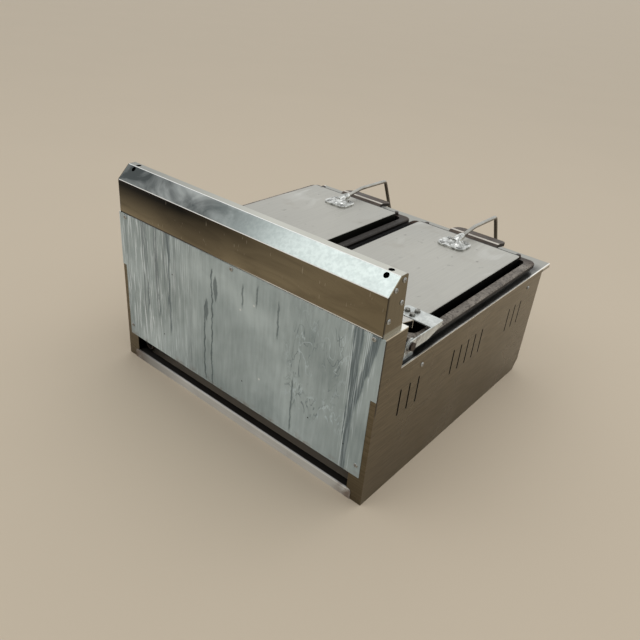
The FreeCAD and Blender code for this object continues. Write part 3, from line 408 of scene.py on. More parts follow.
def cap_steel():
    """End caps of the flue box: polished sheet, darker towards its rear edge."""
    finish = brushed("cap_steel", srgb(126, 118, 100), GRAIN_ALONG_Z, rough=(0.12, 0.22))
    edge = finish.ramp(finish.y, *CAP_REAR_EDGE, 0.0, 0.8)
    finish.set("Base Color", finish.mix(edge, finish.colour, srgb(48, 44, 40)))
    return finish.material


# Lids, in metres: worn end and painted shadow line at the front edge along y, and the change of painted shade
# from one lid's skirts to the other's across x
LID_WORN_END = (-0.02, -0.10)
LID_FRONT_SHADOW = (-0.1775, -0.1785)
LID_SKIRT_SHADE_CHANGE = (0.0, 0.02)


def lid_steel():
    """Lids: satin top, dark round its sides with soot and painted shade, lighter on one lid's skirts than the
    other's, stained underneath.
    """
    finish = Finish("lid_steel", metallic=1.0)
    lines = finish.noise(1.0, stretch=(520, 9, 520), detail=2.0)
    smears = finish.noise(5.0, stretch=(1, 0.6, 1), detail=5.0, distortion=0.4)
    stains = finish.ramp(finish.noise(17.0, detail=5.0, distortion=0.9, shift=(1, 4, 0)), 0.38, 0.66)
    stained = finish.mix(stains, srgb(92, 82, 70), srgb(46, 41, 37))
    # Painted shade with soot on the skirts, lighter on one lid than on the other.
    skirt_soot_and_shade = finish.mix(finish.ramp(finish.x, *LID_SKIRT_SHADE_CHANGE), srgb(30, 28, 26), srgb(58, 58, 52))
    sooty = finish.mix(finish.ramp(finish.facing_z, -0.5, -0.8), skirt_soot_and_shade, stained)
    sides = finish.ramp(finish.facing_z, 0.75, 0.45)
    finish.set("Base Color", finish.mix(sides, lid_top(finish, lines, smears), sooty))
    finish.set("Roughness", finish.follow(smears, 0.36, 0.50))
    finish.bump(lines, GRAIN_DEPTH)
    return finish.material


def lid_top(finish, lines, smears):
    """Colour of the lids' top: faint spots, wipe marks, brown clouds and a painted shadow line along the
    front edge.
    """
    tone = srgb(186, 184, 177)
    share = finish.plus(finish.times(lines, 0.30), finish.times(smears, 0.70))
    colour = finish.mix(finish.follow(share), scaled(tone, 0.86), scaled(tone, 1.10))
    worn = finish.ramp(finish.y, *LID_WORN_END)
    spots = finish.ramp(finish.noise(60.0, stretch=(1, 0.7, 1), detail=4.0), 0.65, 0.74)
    colour = finish.stain(colour, spots, finish.ramp(worn, 0.0, 1.0, 0.35, 0.75), srgb(112, 108, 102))
    wipes = finish.noise(1.0, stretch=(26, 9, 1), detail=4.0, distortion=0.8, shift=(4, 2, 0))
    wipes = finish.times(finish.ramp(wipes, 0.56, 0.72), worn)
    colour = finish.stain(colour, wipes, 0.55, srgb(216, 216, 212))
    brown = finish.ramp(finish.noise(14.0, detail=3.0, shift=(3, 1, 0)), 0.60, 0.78)
    colour = finish.stain(colour, brown, 0.25, srgb(138, 124, 106))
    # Painted shadow: a dark line along the front edge.
    return finish.mix(finish.ramp(finish.y, *LID_FRONT_SHADOW, 0.0, 0.9), colour, srgb(40, 38, 36))


# Runs on the back plate, in metres: place across x, low and high end up z
DRIPS = ((0.0467, 0.0560, 0.2810), (0.0650, 0.0590, 0.2150))
DASHES = ((-0.0275, 0.2490, 0.2780), (-0.0590, 0.2630, 0.2890), (-0.1055, 0.2270, 0.2790),
          (0.1930, 0.1330, 0.1780), (0.2250, 0.1450, 0.1900), (-0.1435, 0.0650, 0.1570))
RUN_HALF = 0.0010
DRIP_SOFT = 0.0012
DRIP_FADE = 0.006
DASH_SOFT = 0.0014
DASH_FADE = 0.010

# Blobs on the back plate, in metres: place across x and up z, half width and half height
DRIP_BLOBS = ((0.0370, 0.2500, 0.0055, 0.0260), (0.0610, 0.2020, 0.0048, 0.0230))

# Spots on the back plate, in metres: places across x and up z
PALE_DOTS = ((-0.0223, 0.2370), (-0.0530, 0.2570), (-0.0700, 0.1240))
PALE_DOT_RADIUS = 0.0026
DARK_SPECKS = ((0.1514, 0.2344), (0.1818, 0.0972), (-0.1804, 0.1072), (-0.2532, 0.0992), (-0.0296, 0.0991))
DARK_SPECK_RADIUS = 0.0016

# Dark bands on the back plate, in metres: place across x, half width, low and high end up z, and lean
DARK_BANDS = ((-0.2560, 0.0100, 0.0560, 0.3080, 0.0), (-0.2750, 0.0085, 0.1850, 0.3080, -0.20),
              (0.1600, 0.0045, 0.1200, 0.3060, 0.0))
BAND_NARROWING = (0.05, 0.30)
BAND_FADE = 0.02
BAND_RAGGED = 0.003

# Rest of the back plate, in metres: wandering of its marks, streaked end, wrinkled film and rusty foot
WOBBLE = 0.014
KINKS = 0.007
STREAKED_END = (0.05, 0.20)
FILM_ACROSS = (-0.230, -0.145)
FILM_RISE = (0.125, 0.275)
FILM_FADE = 0.03
RUST_FALL = (0.066, 0.052)


def run_line(finish, across, run, soft, fade):
    """One dark run with soft sides and fading ends."""
    x, low, high = run
    return finish.times(finish.band(across, x, RUN_HALF, soft), finish.between(finish.z, low, high, fade))


def drip_mask(finish, wobble):
    """Dark wandering runs and the pointed blobs that they start from."""
    across = finish.plus(finish.x, wobble)
    marks = [run_line(finish, across, run, DRIP_SOFT, DRIP_FADE) for run in DRIPS]
    marks += [finish.times(run_line(finish, across, run, DASH_SOFT, DASH_FADE), 0.8) for run in DASHES]
    for x, z, half_width, half_height in DRIP_BLOBS:
        aside = finish.size(finish.math("DIVIDE", finish.less(across, x), half_width))
        above = finish.math("DIVIDE", finish.less(finish.z, z), half_height)
        distance = finish.plus(aside, finish.times(above, above))
        marks.append(finish.ramp(distance, 0.75, 1.15, 0.85, 0.0))
    return finish.most(*marks)


def spot_mask(finish, axes, places, radius, soft=0.3):
    """Round spots at given places on two axes."""
    spots = []
    for place in places:
        aside, above = (finish.less(axis, value) for axis, value in zip(axes, place))
        distance = finish.math("SQRT", finish.plus(finish.times(aside, aside), finish.times(above, above)))
        spots.append(finish.ramp(distance, (1 - soft) * radius, radius, 1.0, 0.0))
    return finish.most(*spots)


def plate_sheet(finish, streaks):
    """Colour of the bare back plate: clouds, with pale and dark streaks towards one end."""
    clouds = finish.noise(6.5, detail=7.0, distortion=0.6)
    brushing = finish.noise(1.0, stretch=(170, 170, 22), detail=4.0, distortion=0.3)
    share = finish.plus(finish.times(clouds, 0.78), finish.times(brushing, 0.22))
    colour = finish.mix(finish.ramp(share, 0.36, 0.64), srgb(142, 155, 157), srgb(190, 203, 205))
    streaked = finish.ramp(finish.x, *STREAKED_END, 0.04, 1.0)
    broad = finish.noise(1.0, stretch=(75, 75, 3), detail=4.0)
    dark = finish.times(finish.ramp(broad, 0.47, 0.32), streaked)
    colour = finish.stain(colour, dark, 0.70, srgb(106, 116, 121))
    pale = finish.times(finish.ramp(streaks, 0.53, 0.62), streaked)
    return finish.stain(colour, pale, 0.92, srgb(222, 232, 236))


def plate_bands(finish, colour, streaks, wobble):
    """Dark upright bands that narrow downwards, with pale streaks beside them."""
    ragged = finish.plus(wobble, finish.follow(streaks, -BAND_RAGGED, BAND_RAGGED), finish.x)
    narrow = finish.ramp(finish.z, *BAND_NARROWING, 1.9, 0.9)
    for x, half, low, high, lean in DARK_BANDS:
        swing = lean * (high - low) / 2
        place = finish.ramp(finish.z, low, high, x - swing, x + swing)
        offset = finish.times(finish.size(finish.less(ragged, place)), narrow)
        inside = finish.between(finish.z, low, high, BAND_FADE)
        beside = finish.times(finish.ramp(offset, 2.6 * half, half), inside, finish.ramp(streaks, 0.50, 0.62))
        colour = finish.stain(colour, beside, 0.8, srgb(210, 222, 227))
        stripe = finish.times(finish.ramp(offset, half, 0.7 * half), inside)
        share = finish.ramp(streaks, 0.38, 0.64, 0.90, 0.58)
        colour = finish.stain(colour, stripe, share, srgb(88, 102, 108))
    return colour


def film_wrinkles(finish, shift):
    """Thin broken wrinkles of the film on one half of the back plate, used as lines of painted shade and
    painted highlight.
    """
    field = finish.noise(46.0, stretch=(1, 1, 0.40), detail=3.0, distortion=0.5, shift=shift)
    lines = finish.band(field, 0.5, 0.006, 0.010)
    broken = finish.ramp(finish.noise(17.0, detail=3.0, shift=(5, 0, 1)), 0.44, 0.56)
    across = finish.between(finish.x, *FILM_ACROSS, FILM_FADE)
    return finish.times(lines, broken, across, finish.between(finish.z, *FILM_RISE, FILM_FADE))


def wander(finish, pattern, width):
    """Sideways shift, to both sides alike, that follows a pattern."""
    return finish.times(finish.less(pattern, 0.5), width)


def back_plate_finish():
    """Back plate: galvanised sheet with streaks, runs, a wrinkled film in painted shade and highlight, dark
    bands and a rusty foot.
    """
    finish = Finish("back_plate_galvanised", metallic=0.18)
    streaks = finish.noise(1.0, stretch=(430, 430, 15), detail=4.0, distortion=0.5)
    wobble = wander(finish, finish.noise(16.0, detail=4.0), WOBBLE)
    kinks = wander(finish, finish.noise(75.0, detail=2.0, shift=(2, 0, 3)), KINKS)
    runs = drip_mask(finish, finish.plus(finish.times(wobble, 0.7), kinks))
    upright = (finish.x, finish.z)
    colour = plate_bands(finish, plate_sheet(finish, streaks), streaks, wobble)
    # Painted shade and, shifted beside it, painted highlight of the film's wrinkles.
    colour = finish.stain(colour, film_wrinkles(finish, (0, 0, 2)), 0.65, srgb(104, 117, 122))
    colour = finish.stain(colour, film_wrinkles(finish, (0.05, 0, 2)), 0.55, srgb(206, 221, 227))
    colour = finish.stain(colour, runs, 0.85, srgb(78, 93, 98))
    dots = spot_mask(finish, upright, PALE_DOTS, PALE_DOT_RADIUS, soft=0.5)
    colour = finish.mix(dots, colour, srgb(218, 222, 222))
    specks = spot_mask(finish, upright, DARK_SPECKS, DARK_SPECK_RADIUS)
    colour = finish.mix(specks, colour, srgb(16, 16, 17))
    rust = finish.ramp(finish.noise(60.0, detail=4.0), 0.50, 0.66)
    rust = finish.times(rust, finish.ramp(finish.z, *RUST_FALL))
    finish.set("Base Color", finish.stain(colour, rust, 0.55, srgb(118, 98, 80)))
    rough = finish.follow(finish.noise(7.5, detail=3.0), 0.40, 0.56)
    finish.set("Roughness", finish.plus(rough, finish.times(runs, -0.12)))
    finish.bump(finish.noise(3.5, detail=1.0), 0.0009)
    return finish.material


# Rear sill, in metres: painted highlight of the top edge up z, dark end and rusty ends across x, painted
# shade of the ledge along y
SILL_TOP_HIGHLIGHT = (0.0155, 0.0172)
SILL_DARK_END = (0.12, 0.26)
SILL_RUSTY_ENDS = (0.238, 0.272)
SILL_LEDGE_SHADE = (0.3378, 0.3366)


def sill_finish():
    """Rear sill: pale face with a painted highlight along its top edge, painted shade on the ledge behind it,
    rusty ends.
    """
    finish = brushed("sill_galvanised", srgb(206, 205, 201), GRAIN_ALONG_X, rough=(0.34, 0.48))
    finish.set("Metallic", 0.25)
    # Painted highlight along the top edge.
    colour = finish.mix(finish.ramp(finish.z, *SILL_TOP_HIGHLIGHT, 0.0, 0.9), finish.colour, srgb(244, 243, 240))
    colour = finish.mix(finish.ramp(finish.x, *SILL_DARK_END, 0.0, 0.7), colour, srgb(92, 88, 84))
    rust = finish.ramp(finish.noise(70.0, detail=4.0), 0.34, 0.56)
    rust = finish.times(rust, finish.ramp(finish.size(finish.x), *SILL_RUSTY_ENDS))
    colour = finish.stain(colour, rust, 0.8, srgb(104, 82, 68))
    # Painted shade on the ledge behind the face.
    finish.set("Base Color", finish.mix(finish.ramp(finish.y, *SILL_LEDGE_SHADE), colour, srgb(40, 37, 34)))
    return finish.material


def sooty_sheet():
    """Inner sheets: galvanised, blackened by heat and grease."""
    finish = Finish("sooty_sheet", metallic=0.35, roughness=0.6)
    clouds = finish.noise(16.0, detail=5.0, distortion=0.6)
    speckle = finish.ramp(finish.noise(130.0, detail=3.0), 0.55, 0.72)
    colour = finish.mix(finish.ramp(clouds, 0.35, 0.65), srgb(24, 22, 21), srgb(58, 55, 52))
    finish.set("Base Color", finish.stain(colour, speckle, 0.3, srgb(110, 100, 90)))
    finish.bump(clouds, 0.0002)
    return finish.material


# Pans, in metres: middle rims and the left pan across x, both for painted shade, lip along y, the painted
# highlight of its crest and the cavity up z
PAN_MIDDLE_RIM = (0.038, 0.030)
PAN_LEFT = (0.000, -0.003)
PAN_LIP = (-0.165, -0.195)
PAN_LIP_HIGHLIGHT = (0.2599, 0.2603)
PAN_CAVITY = (0.2525, 0.2490)


def pan_iron():
    """Cast pans: black cavity, painted shade on the side walls and the middle rims, speckled outer rims,
    brown lip, painted highlight along its crest.
    """
    finish = Finish("pan_iron", metallic=0.30)
    grain = finish.noise(420.0, detail=3.0)
    clouds = finish.noise(26.0, detail=5.0, distortion=0.5)
    speckle = finish.ramp(finish.noise(230.0, detail=4.0), 0.48, 0.60)
    colour = finish.mix(finish.ramp(clouds, 0.32, 0.68), srgb(104, 97, 89), srgb(154, 146, 137))
    colour = finish.stain(colour, speckle, 0.62, srgb(52, 45, 40))
    # Painted shade: the middle rims darker, the left pan's middle rim near black with little specular
    # reflection.
    middle = finish.ramp(finish.size(finish.x), *PAN_MIDDLE_RIM)
    colour = finish.stain(colour, middle, 0.90, srgb(30, 25, 23))
    left_rim_shade = finish.times(middle, finish.ramp(finish.x, *PAN_LEFT))
    colour = finish.mix(left_rim_shade, colour, srgb(9, 8, 8))
    rust = finish.mix(finish.follow(clouds), srgb(46, 37, 32), srgb(84, 70, 60))
    colour = finish.stain(colour, finish.ramp(finish.y, *PAN_LIP), 0.85, rust)
    # Painted highlight along the lip's crest.
    colour = finish.mix(finish.ramp(finish.z, *PAN_LIP_HIGHLIGHT), colour, srgb(206, 199, 190))
    # Painted shade on the side walls.
    flank_shade = finish.ramp(finish.facing_z, 0.55, 0.30)
    colour = finish.stain(colour, flank_shade, 0.85, srgb(28, 24, 22))
    finish.set("Base Color", finish.mix(finish.ramp(finish.z, *PAN_CAVITY), colour, srgb(24, 21, 20)))
    finish.set("Roughness", finish.follow(clouds, 0.42, 0.66))
    finish.set("Specular IOR Level", finish.ramp(left_rim_shade, 0.0, 1.0, 0.25, 0.0))
    finish.bump(finish.plus(finish.times(grain, 0.7), clouds), 0.00028)
    return finish.material


# Span along y, in metres, over which the hinge plates and brackets get greasy
ZINC_GREASE = (0.215, 0.246)


def zinc_plate():
    """Hinge plates and brackets: pale zinc with grease towards the pins."""
    finish = Finish("zinc_plate", metallic=0.60)
    clouds = finish.noise(48.0, detail=4.0, distortion=0.4)
    colour = finish.mix(finish.follow(clouds), srgb(186, 190, 188), srgb(226, 229, 226))
    colour = finish.mix(finish.follow(finish.cells(210.0), 0.0, 0.22), colour, srgb(150, 156, 158))
    grease = finish.ramp(finish.noise(85.0, detail=4.0), 0.42, 0.60)
    grease = finish.times(grease, finish.ramp(finish.y, *ZINC_GREASE))
    finish.set("Base Color", finish.stain(colour, grease, 0.75, srgb(78, 60, 48)))
    finish.set("Roughness", finish.follow(clouds, 0.30, 0.46))
    finish.bump(finish.noise(260.0, detail=2.0), 0.00006)
    return finish.material


def speckled(name, metallic, scale, detail, span, tones, rough):
    """Metal in two tones that follow one noise pattern over a span, with roughness to match."""
    finish = Finish(name, metallic=metallic)
    finish.specks = finish.noise(scale, detail=detail)
    finish.set("Base Color", finish.mix(finish.ramp(finish.specks, *span), *tones))
    finish.set("Roughness", finish.follow(finish.specks, *rough))
    return finish


def burner_iron():
    """Burners: dull cast iron with a dusting of rust."""
    tones = (srgb(40, 38, 37), srgb(98, 66, 48))
    finish = speckled("burner_iron", 0.3, 34.0, 5.0, span=(0.40, 0.70), tones=tones, rough=(0.55, 0.8))
    finish.bump(finish.noise(300.0, detail=3.0), 0.0003)
    return finish.material


def bright_screw():
    """Screws: bright heads, dull with dirt in places."""
    tones = (srgb(190, 192, 190), srgb(104, 99, 92))
    finish = speckled("bright_screw", 0.75, 700.0, 3.0, span=(0.42, 0.70), tones=tones, rough=(0.20, 0.42))
    return finish.material


def hinge_bolt():
    """Lid hinge bolts: grey plated heads, dull in places."""
    tones = (srgb(158, 158, 153), srgb(92, 88, 82))
    finish = speckled("hinge_bolt", 0.9, 380.0, 4.0, span=(0.40, 0.66), tones=tones, rough=(0.28, 0.5))
    finish.bump(finish.specks, 0.0001)
    return finish.material


def dark_bolt():
    """Rim bolts, pins and nuts: blackened, with a little rust."""
    tones = (srgb(54, 50, 48), srgb(92, 74, 62))
    finish = speckled("dark_bolt", 0.7, 420.0, 4.0, span=(0.45, 0.70), tones=tones, rough=(0.34, 0.60))
    finish.bump(finish.specks, 0.0001)
    return finish.material


def brass():
    """Gas cocks and injectors: dull brass."""
    tones = (srgb(150, 118, 62), srgb(196, 164, 98))
    finish = speckled("gas_brass", 1.0, 120.0, 4.0, span=PATTERN_SPAN, tones=tones, rough=(0.26, 0.45))
    return finish.material


def black_pipe():
    """Gas pipes: black steel with dust and rust."""
    tones = (srgb(46, 46, 47), srgb(96, 80, 66))
    finish = speckled("black_pipe", 0.5, 70.0, 5.0, span=(0.45, 0.70), tones=tones, rough=(0.40, 0.62))
    return finish.material


# Radius of the soiling and painted shade round the handle screws, in metres
SCREW_DIRT_AND_SHADE_RADIUS = 0.0068


def bright_casting(screw_places):
    """Handle bases: polished casting with a pitted skin, its dark pitting partly painted dark reflection, and
    soiling with painted shade round its screws.
    """
    finish = Finish("bright_casting", metallic=1.0)
    pits_and_dark_reflections = finish.noise(170.0, detail=4.0)
    clouds = finish.noise(90.0, detail=3.0)
    colour = finish.mix(finish.ramp(clouds, 0.35, 0.65), srgb(158, 159, 156), srgb(236, 237, 234))
    # Dark pitting, partly painted dark reflection.
    colour = finish.mix(finish.ramp(pits_and_dark_reflections, 0.54, 0.68, 0.0, 0.75), colour, srgb(74, 70, 64))
    # Soiling and painted shade round each screw.
    screw_dirt_and_shade = spot_mask(finish, (finish.x, finish.y), screw_places, SCREW_DIRT_AND_SHADE_RADIUS)
    finish.set("Base Color", finish.stain(colour, screw_dirt_and_shade, 0.72, srgb(54, 50, 45)))
    finish.set("Roughness", finish.follow(clouds, 0.12, 0.26))
    finish.bump(pits_and_dark_reflections, 0.0005)
    return finish.material


# Span along y, in metres, over which the handle bars turn down into their legs
HANDLE_LEG = (-0.297, -0.305)


def handle_steel():
    """Handle bars: smooth drawn steel, with painted shade underneath and a painted dark reflection down the
    bar's upright end.
    """
    finish = Finish("handle_steel", metallic=1.0)
    clouds = finish.noise(30.0, detail=4.0)
    colour = finish.mix(finish.follow(clouds), srgb(150, 148, 142), srgb(188, 186, 180))
    # Painted shade underneath the bar and painted dark reflection down its upright end.
    underside_shade = finish.ramp(finish.facing_z, 0.30, -0.40, 0.0, 0.85)
    leg_dark_reflection = finish.ramp(finish.y, *HANDLE_LEG, 0.0, 0.80)
    finish.set("Base Color", finish.mix(finish.most(underside_shade, leg_dark_reflection), colour, srgb(64, 60, 54)))
    finish.set("Roughness", finish.follow(clouds, 0.18, 0.32))
    return finish.material


def knob_plastic():
    """Knobs: matt black moulding with a fine skin."""
    finish = Finish("knob_plastic")
    wear = finish.ramp(finish.noise(120.0, detail=4.0), 0.55, 0.78)
    finish.set("Base Color", finish.stain(srgb(26, 26, 27), wear, 0.4, srgb(66, 64, 62)))
    finish.set("Roughness", finish.ramp(wear, 0.0, 1.0, 0.42, 0.60))
    finish.bump(finish.noise(1400.0, detail=2.0), 0.00005)
    return finish.material


def pointer_paint():
    """White line on the knobs, slightly worn."""
    finish = Finish("pointer_paint")
    wear = finish.ramp(finish.noise(600.0, detail=4.0), 0.60, 0.72)
    finish.set("Base Color", finish.mix(wear, srgb(226, 224, 218), srgb(130, 128, 124)))
    return finish.material


def turned_steel():
    """Spindles: turned steel with fine rings."""
    finish = Finish("turned_steel", metallic=1.0)
    rings = finish.noise(1.0, stretch=(40, 2600, 40), detail=1.0)
    finish.set("Base Color", finish.mix(rings, srgb(150, 149, 146), srgb(194, 193, 190)))
    finish.set("Roughness", finish.follow(rings, 0.24, 0.36))
    return finish.material


def both(name):
    """Names of the left and the right node of a pair."""
    return [side + name for side in SIDES]


def dress_nodes():
    """Give every solid that stays in view its finish."""
    groups = (
        (side_steel(), both("side_panel")),
        (deck_steel(), ["top_deck"]),
        (front_steel(), ["front_panel", "front_sill"]),
        (cover_steel(), ["hinge_cover"]),
        (polished_box(), ["rear_box_shell"]),
        (cap_steel(), both("rear_box_end")),
        (lid_steel(), both("lid_panel")),
        (back_plate_finish(), ["back_plate"]),
        (sill_finish(), ["rear_sill"]),
        (sooty_sheet(), ["flue_wall", "centre_heat_shield", "front_burner_rest", "rear_burner_rest"]
         + both("heat_shield")),
        (pan_iron(), both("pan")),
        (burner_iron(), both("burner")),
        (zinc_plate(), both("lid_outer_hinge_plate") + both("lid_inner_hinge_plate") + both("hinge_bracket")
         + ["centre_hinge_bracket"]),
        (handle_steel(), both("handle_bar")),
        (turned_steel(), both("knob_spindle")),
        (brass(), both("gas_cock") + both("gas_injector")),
        (black_pipe(), ["gas_manifold", "gas_inlet_pipe"]),
        (finishes["dark_bolt"], ["hinge_pins", "hinge_nuts"]),
    )
    for material, names in groups:
        for name in names:
            mesh = nodes[name].data
            mesh.materials.clear()
            mesh.materials.append(material)


# Mesh building

SMOOTH_ANGLE = math.radians(35)
WELD = 0.00001


def join_rings(mesh, lower, upper):
    """Band of faces between two rings, where a ring of one vertex is a tip."""
    for i in range(max(len(lower), len(upper))):
        corners = [lower[i % len(lower)], lower[(i + 1) % len(lower)],
                   upper[(i + 1) % len(upper)], upper[i % len(upper)]]
        mesh.faces.new(list(dict.fromkeys(corners)))


def revolve(mesh, profile, stand, sides):
    """Surface turned about the stand's Z axis from (radius, height) points."""
    rings = []
    for radius, height in profile:
        count = sides if radius > 0 else 1
        turns = [2 * math.pi * i / count for i in range(count)]
        corners = [Vector((radius * math.cos(turn), radius * math.sin(turn), height)) for turn in turns]
        rings.append([mesh.verts.new(stand @ corner) for corner in corners])
    for lower, upper in zip(rings, rings[1:]):
        join_rings(mesh, lower, upper)
    return rings


def block(mesh, middle, half):
    """Corners of a new box about its middle."""
    place = Matrix.Translation(middle) @ Matrix.Diagonal((*half, 1))
    return bmesh.ops.create_cube(mesh, size=2.0, matrix=place)["verts"]


def loop_edges(mesh, ring):
    """Edges round a ring, made where they are missing."""
    pairs = zip(ring, ring[1:] + ring[:1])
    return [mesh.edges.get(pair) or mesh.edges.new(pair) for pair in pairs]


def new_piece(name, mesh, materials, body, node):
    """Object from a finished mesh, on its body and in place of its solids."""
    bmesh.ops.recalc_face_normals(mesh, faces=mesh.faces)
    data = bpy.data.meshes.new(name)
    mesh.to_mesh(data)
    mesh.free()
    data.shade_smooth()
    data.set_sharp_from_angle(angle=SMOOTH_ANGLE)
    for material in materials:
        data.materials.append(material)
    piece = bpy.data.objects.new(name, data)
    bpy.context.scene.collection.objects.link(piece)
    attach(piece, body)
    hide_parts(node)


# Fasteners, as shares of a head's radius and height

SCREW_SEGMENTS = 20
SCREW_DOME = ((0.0, 0.0), (1.0, 0.0), (1.0, 0.30), (0.93, 0.62), (0.80, 0.84), (0.64, 0.97))
RECESS_REACH = 0.50
RECESS_HALF = 0.11
RECESS_BOTTOM = 0.40
BOLT_HEX = ((0.0, 0.0), (1.0, 0.0), (1.0, 0.78), (0.86, 1.0), (0.0, 1.0))
BOLT_SIDES = 6
WASHER_RADIUS = 1.18
WASHER_HEIGHT = 0.20


def islands(node):
    """Corner sets of the separate solids of a node."""
    mesh = bmesh.new()
    mesh.from_mesh(nodes[node].data)
    bmesh.ops.remove_doubles(mesh, verts=mesh.verts, dist=WELD)
    unseen = dict.fromkeys(mesh.verts)
    groups = []
    while unseen:
        group = []
        waiting = [unseen.popitem()[0]]
        while waiting:
            vert = waiting.pop()
            group.append(vert.co.copy())
            for link in vert.link_edges:
                other = link.other_vert(vert)
                if other in unseen:
                    del unseen[other]
                    waiting.append(other)
        groups.append(group)
    mesh.free()
    return groups


def stand_on(points):
    """Frame at the foot of a fastener's solid with Z outwards, its half width and its height."""
    low = Vector(min(p[i] for p in points) for i in range(3))
    high = Vector(max(p[i] for p in points) for i in range(3))
    size = high - low
    axis = min(range(3), key=lambda i: size[i])
    middle = (low + high) / 2
    outwards = Vector((0, 0, 0))
    box_middle = (cad_box[0] + cad_box[1]) / 2
    outwards[axis] = 1.0 if axis == 2 or middle[axis] > box_middle[axis] else -1.0
    foot = middle - outwards * size[axis] / 2
    half = max(size[i] for i in range(3) if i != axis) / 2
    stand = Matrix.Translation(foot) @ outwards.to_track_quat("Z", "Y").to_matrix().to_4x4()
    return stand, half, size[axis]


def cross_ring(mesh, stand, radius, height):
    """Ring of a cross-shaped recess at one height."""
    reach = RECESS_REACH * radius
    half = RECESS_HALF * radius
    ring = []
    for quarter in range(4):
        turn = Matrix.Rotation(quarter * math.pi / 2, 4, "Z")
        for x, y in ((reach, -half), (reach, half), (half, half)):
            ring.append(mesh.verts.new(stand @ turn @ Vector((x, y, height))))
    return ring


def screw_head(mesh, stand, radius, height):
    """Domed head with a cross recess."""
    profile = [(r * radius, h * height) for r, h in SCREW_DOME]
    crown = revolve(mesh, profile, stand, SCREW_SEGMENTS)[-1]
    top = cross_ring(mesh, stand, radius, profile[-1][1])
    bottom = cross_ring(mesh, stand, radius, RECESS_BOTTOM * height)
    bmesh.ops.triangle_fill(mesh, edges=loop_edges(mesh, crown) + loop_edges(mesh, top), use_beauty=True)
    join_rings(mesh, bottom, top)
    mesh.faces.new(bottom)


def hex_bolt(mesh, stand, radius, height):
    """Hexagon head with chamfered corners on a round washer."""
    washer = WASHER_HEIGHT * height
    ring = [(0.0, 0.0), (WASHER_RADIUS * radius, 0.0), (WASHER_RADIUS * radius, washer), (0.0, washer)]
    revolve(mesh, ring, stand, SCREW_SEGMENTS)
    lifted = stand @ Matrix.Translation((0, 0, washer))
    revolve(mesh, [(r * radius, h * (height - washer)) for r, h in BOLT_HEX], lifted, BOLT_SIDES)


def fasteners(node, body, head, material):
    """Detailed heads in place of a node of plain ones."""
    mesh = bmesh.new()
    for points in islands(node):
        head(mesh, *stand_on(points))
    new_piece(node + "_heads", mesh, [material], body, node)


def handle_screw_places():
    """Places (x, y) of all handle screws."""
    places = []
    for side in SIDES:
        for points in islands(side + "handle_screws"):
            middle = sum(points, Vector()) / len(points)
            places.append((middle.x, middle.y))
    return places


def place_fasteners():
    """All screws and bolts."""
    screw = finishes["bright_screw"]
    for node in ("back_plate_screws", "side_screws", "front_panel_screws", "rear_box_end_screws",
                 "hinge_bracket_screws"):
        fasteners(node, "cabinet", screw_head, screw)
    fasteners("pan_rim_bolts", "cabinet", hex_bolt, finishes["dark_bolt"])
    for side in SIDES:
        fasteners(side + "handle_screws", side + "lid", screw_head, screw)
        fasteners(side + "lid_hinge_bolts", side + "lid", hex_bolt, finishes["hinge_bolt"])


# Handle bases, in metres, with (radius, height) points for hump and socket, and the bar's rise over its run

BASE_SKIN = 0.0007
BASE_SMOOTHING = 8
BASE_SMOOTHING_SHARE = 0.5
BASE_EDGE_ROUNDS = 10
BASE_CORNER = 0.014
BASE_SINK = 0.0002
BASE_HUMP = ((0.0, 0.0), (0.019, 0.0), (0.016, 0.0055), (0.009, 0.0088), (0.0, 0.0098))
SOCKET_PROFILE = ((0.0, 0.0), (0.0075, 0.002), (0.0088, 0.014), (0.0075, 0.030), (0.0062, 0.036),
                  (0.0, 0.036))
SOCKET_SIDES = 32
SOCKET_SINK = 0.006
BAR_SLOPE = 0.14


def rounded_plate(mesh, low, high, corner, top):
    """Flat plate with round corners."""
    outline = []
    for i, (x, y) in enumerate(((high.x, high.y), (low.x, high.y), (low.x, low.y), (high.x, low.y))):
        centre = Vector((x - math.copysign(corner, x - (low.x + high.x) / 2),
                         y - math.copysign(corner, y - (low.y + high.y) / 2), 0))
        for step in range(BASE_EDGE_ROUNDS + 1):
            turn = (i + step / BASE_EDGE_ROUNDS) * math.pi / 2
            outline.append(centre + Vector((corner * math.cos(turn), corner * math.sin(turn), 0)))
    lower = [mesh.verts.new((p.x, p.y, low.z)) for p in outline]
    upper = [mesh.verts.new((p.x, p.y, top)) for p in outline]
    join_rings(mesh, lower, upper)
    mesh.faces.new(lower[::-1])
    mesh.faces.new(upper)


def bar_start(side):
    """Middle of a handle bar's end in its base."""
    low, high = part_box(side + "handle_bar")
    radius = (high.x - low.x) / 2
    corners = [vert.co for vert in nodes[side + "handle_bar"].data.vertices]
    rear = [corner for corner in corners if corner.y > high.y - radius]
    return sum(rear, Vector()) / len(rear)


def handle_base(side):
    """Cast base grown together from a plate, a hump and a sloping socket for the bar."""
    node = side + "handle_base"
    low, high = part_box(node)
    foot = [vert.co for vert in nodes[node].data.vertices if vert.co.z < low.z + WELD]
    low.y = min(corner.y for corner in foot)
    mesh = bmesh.new()
    rounded_plate(mesh, low, high, BASE_CORNER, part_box(side + "handle_screws")[0].z + BASE_SINK)
    along = Vector((0, -1, BAR_SLOPE)).normalized()
    turn = along.to_track_quat("Z", "Y").to_matrix().to_4x4()
    socket = Matrix.Translation(bar_start(side) - along * SOCKET_SINK) @ turn
    revolve(mesh, SOCKET_PROFILE, socket, SOCKET_SIDES)
    middle = (low + high) / 2
    hump = Matrix.Translation((middle.x, middle.y, low.z))
    revolve(mesh, BASE_HUMP, hump, SOCKET_SIDES)
    grown = grow_together(mesh, low.z)
    skin = [finishes["bright_casting"]]
    new_piece(side + "handle_casting", grown, skin, side + "lid", node)


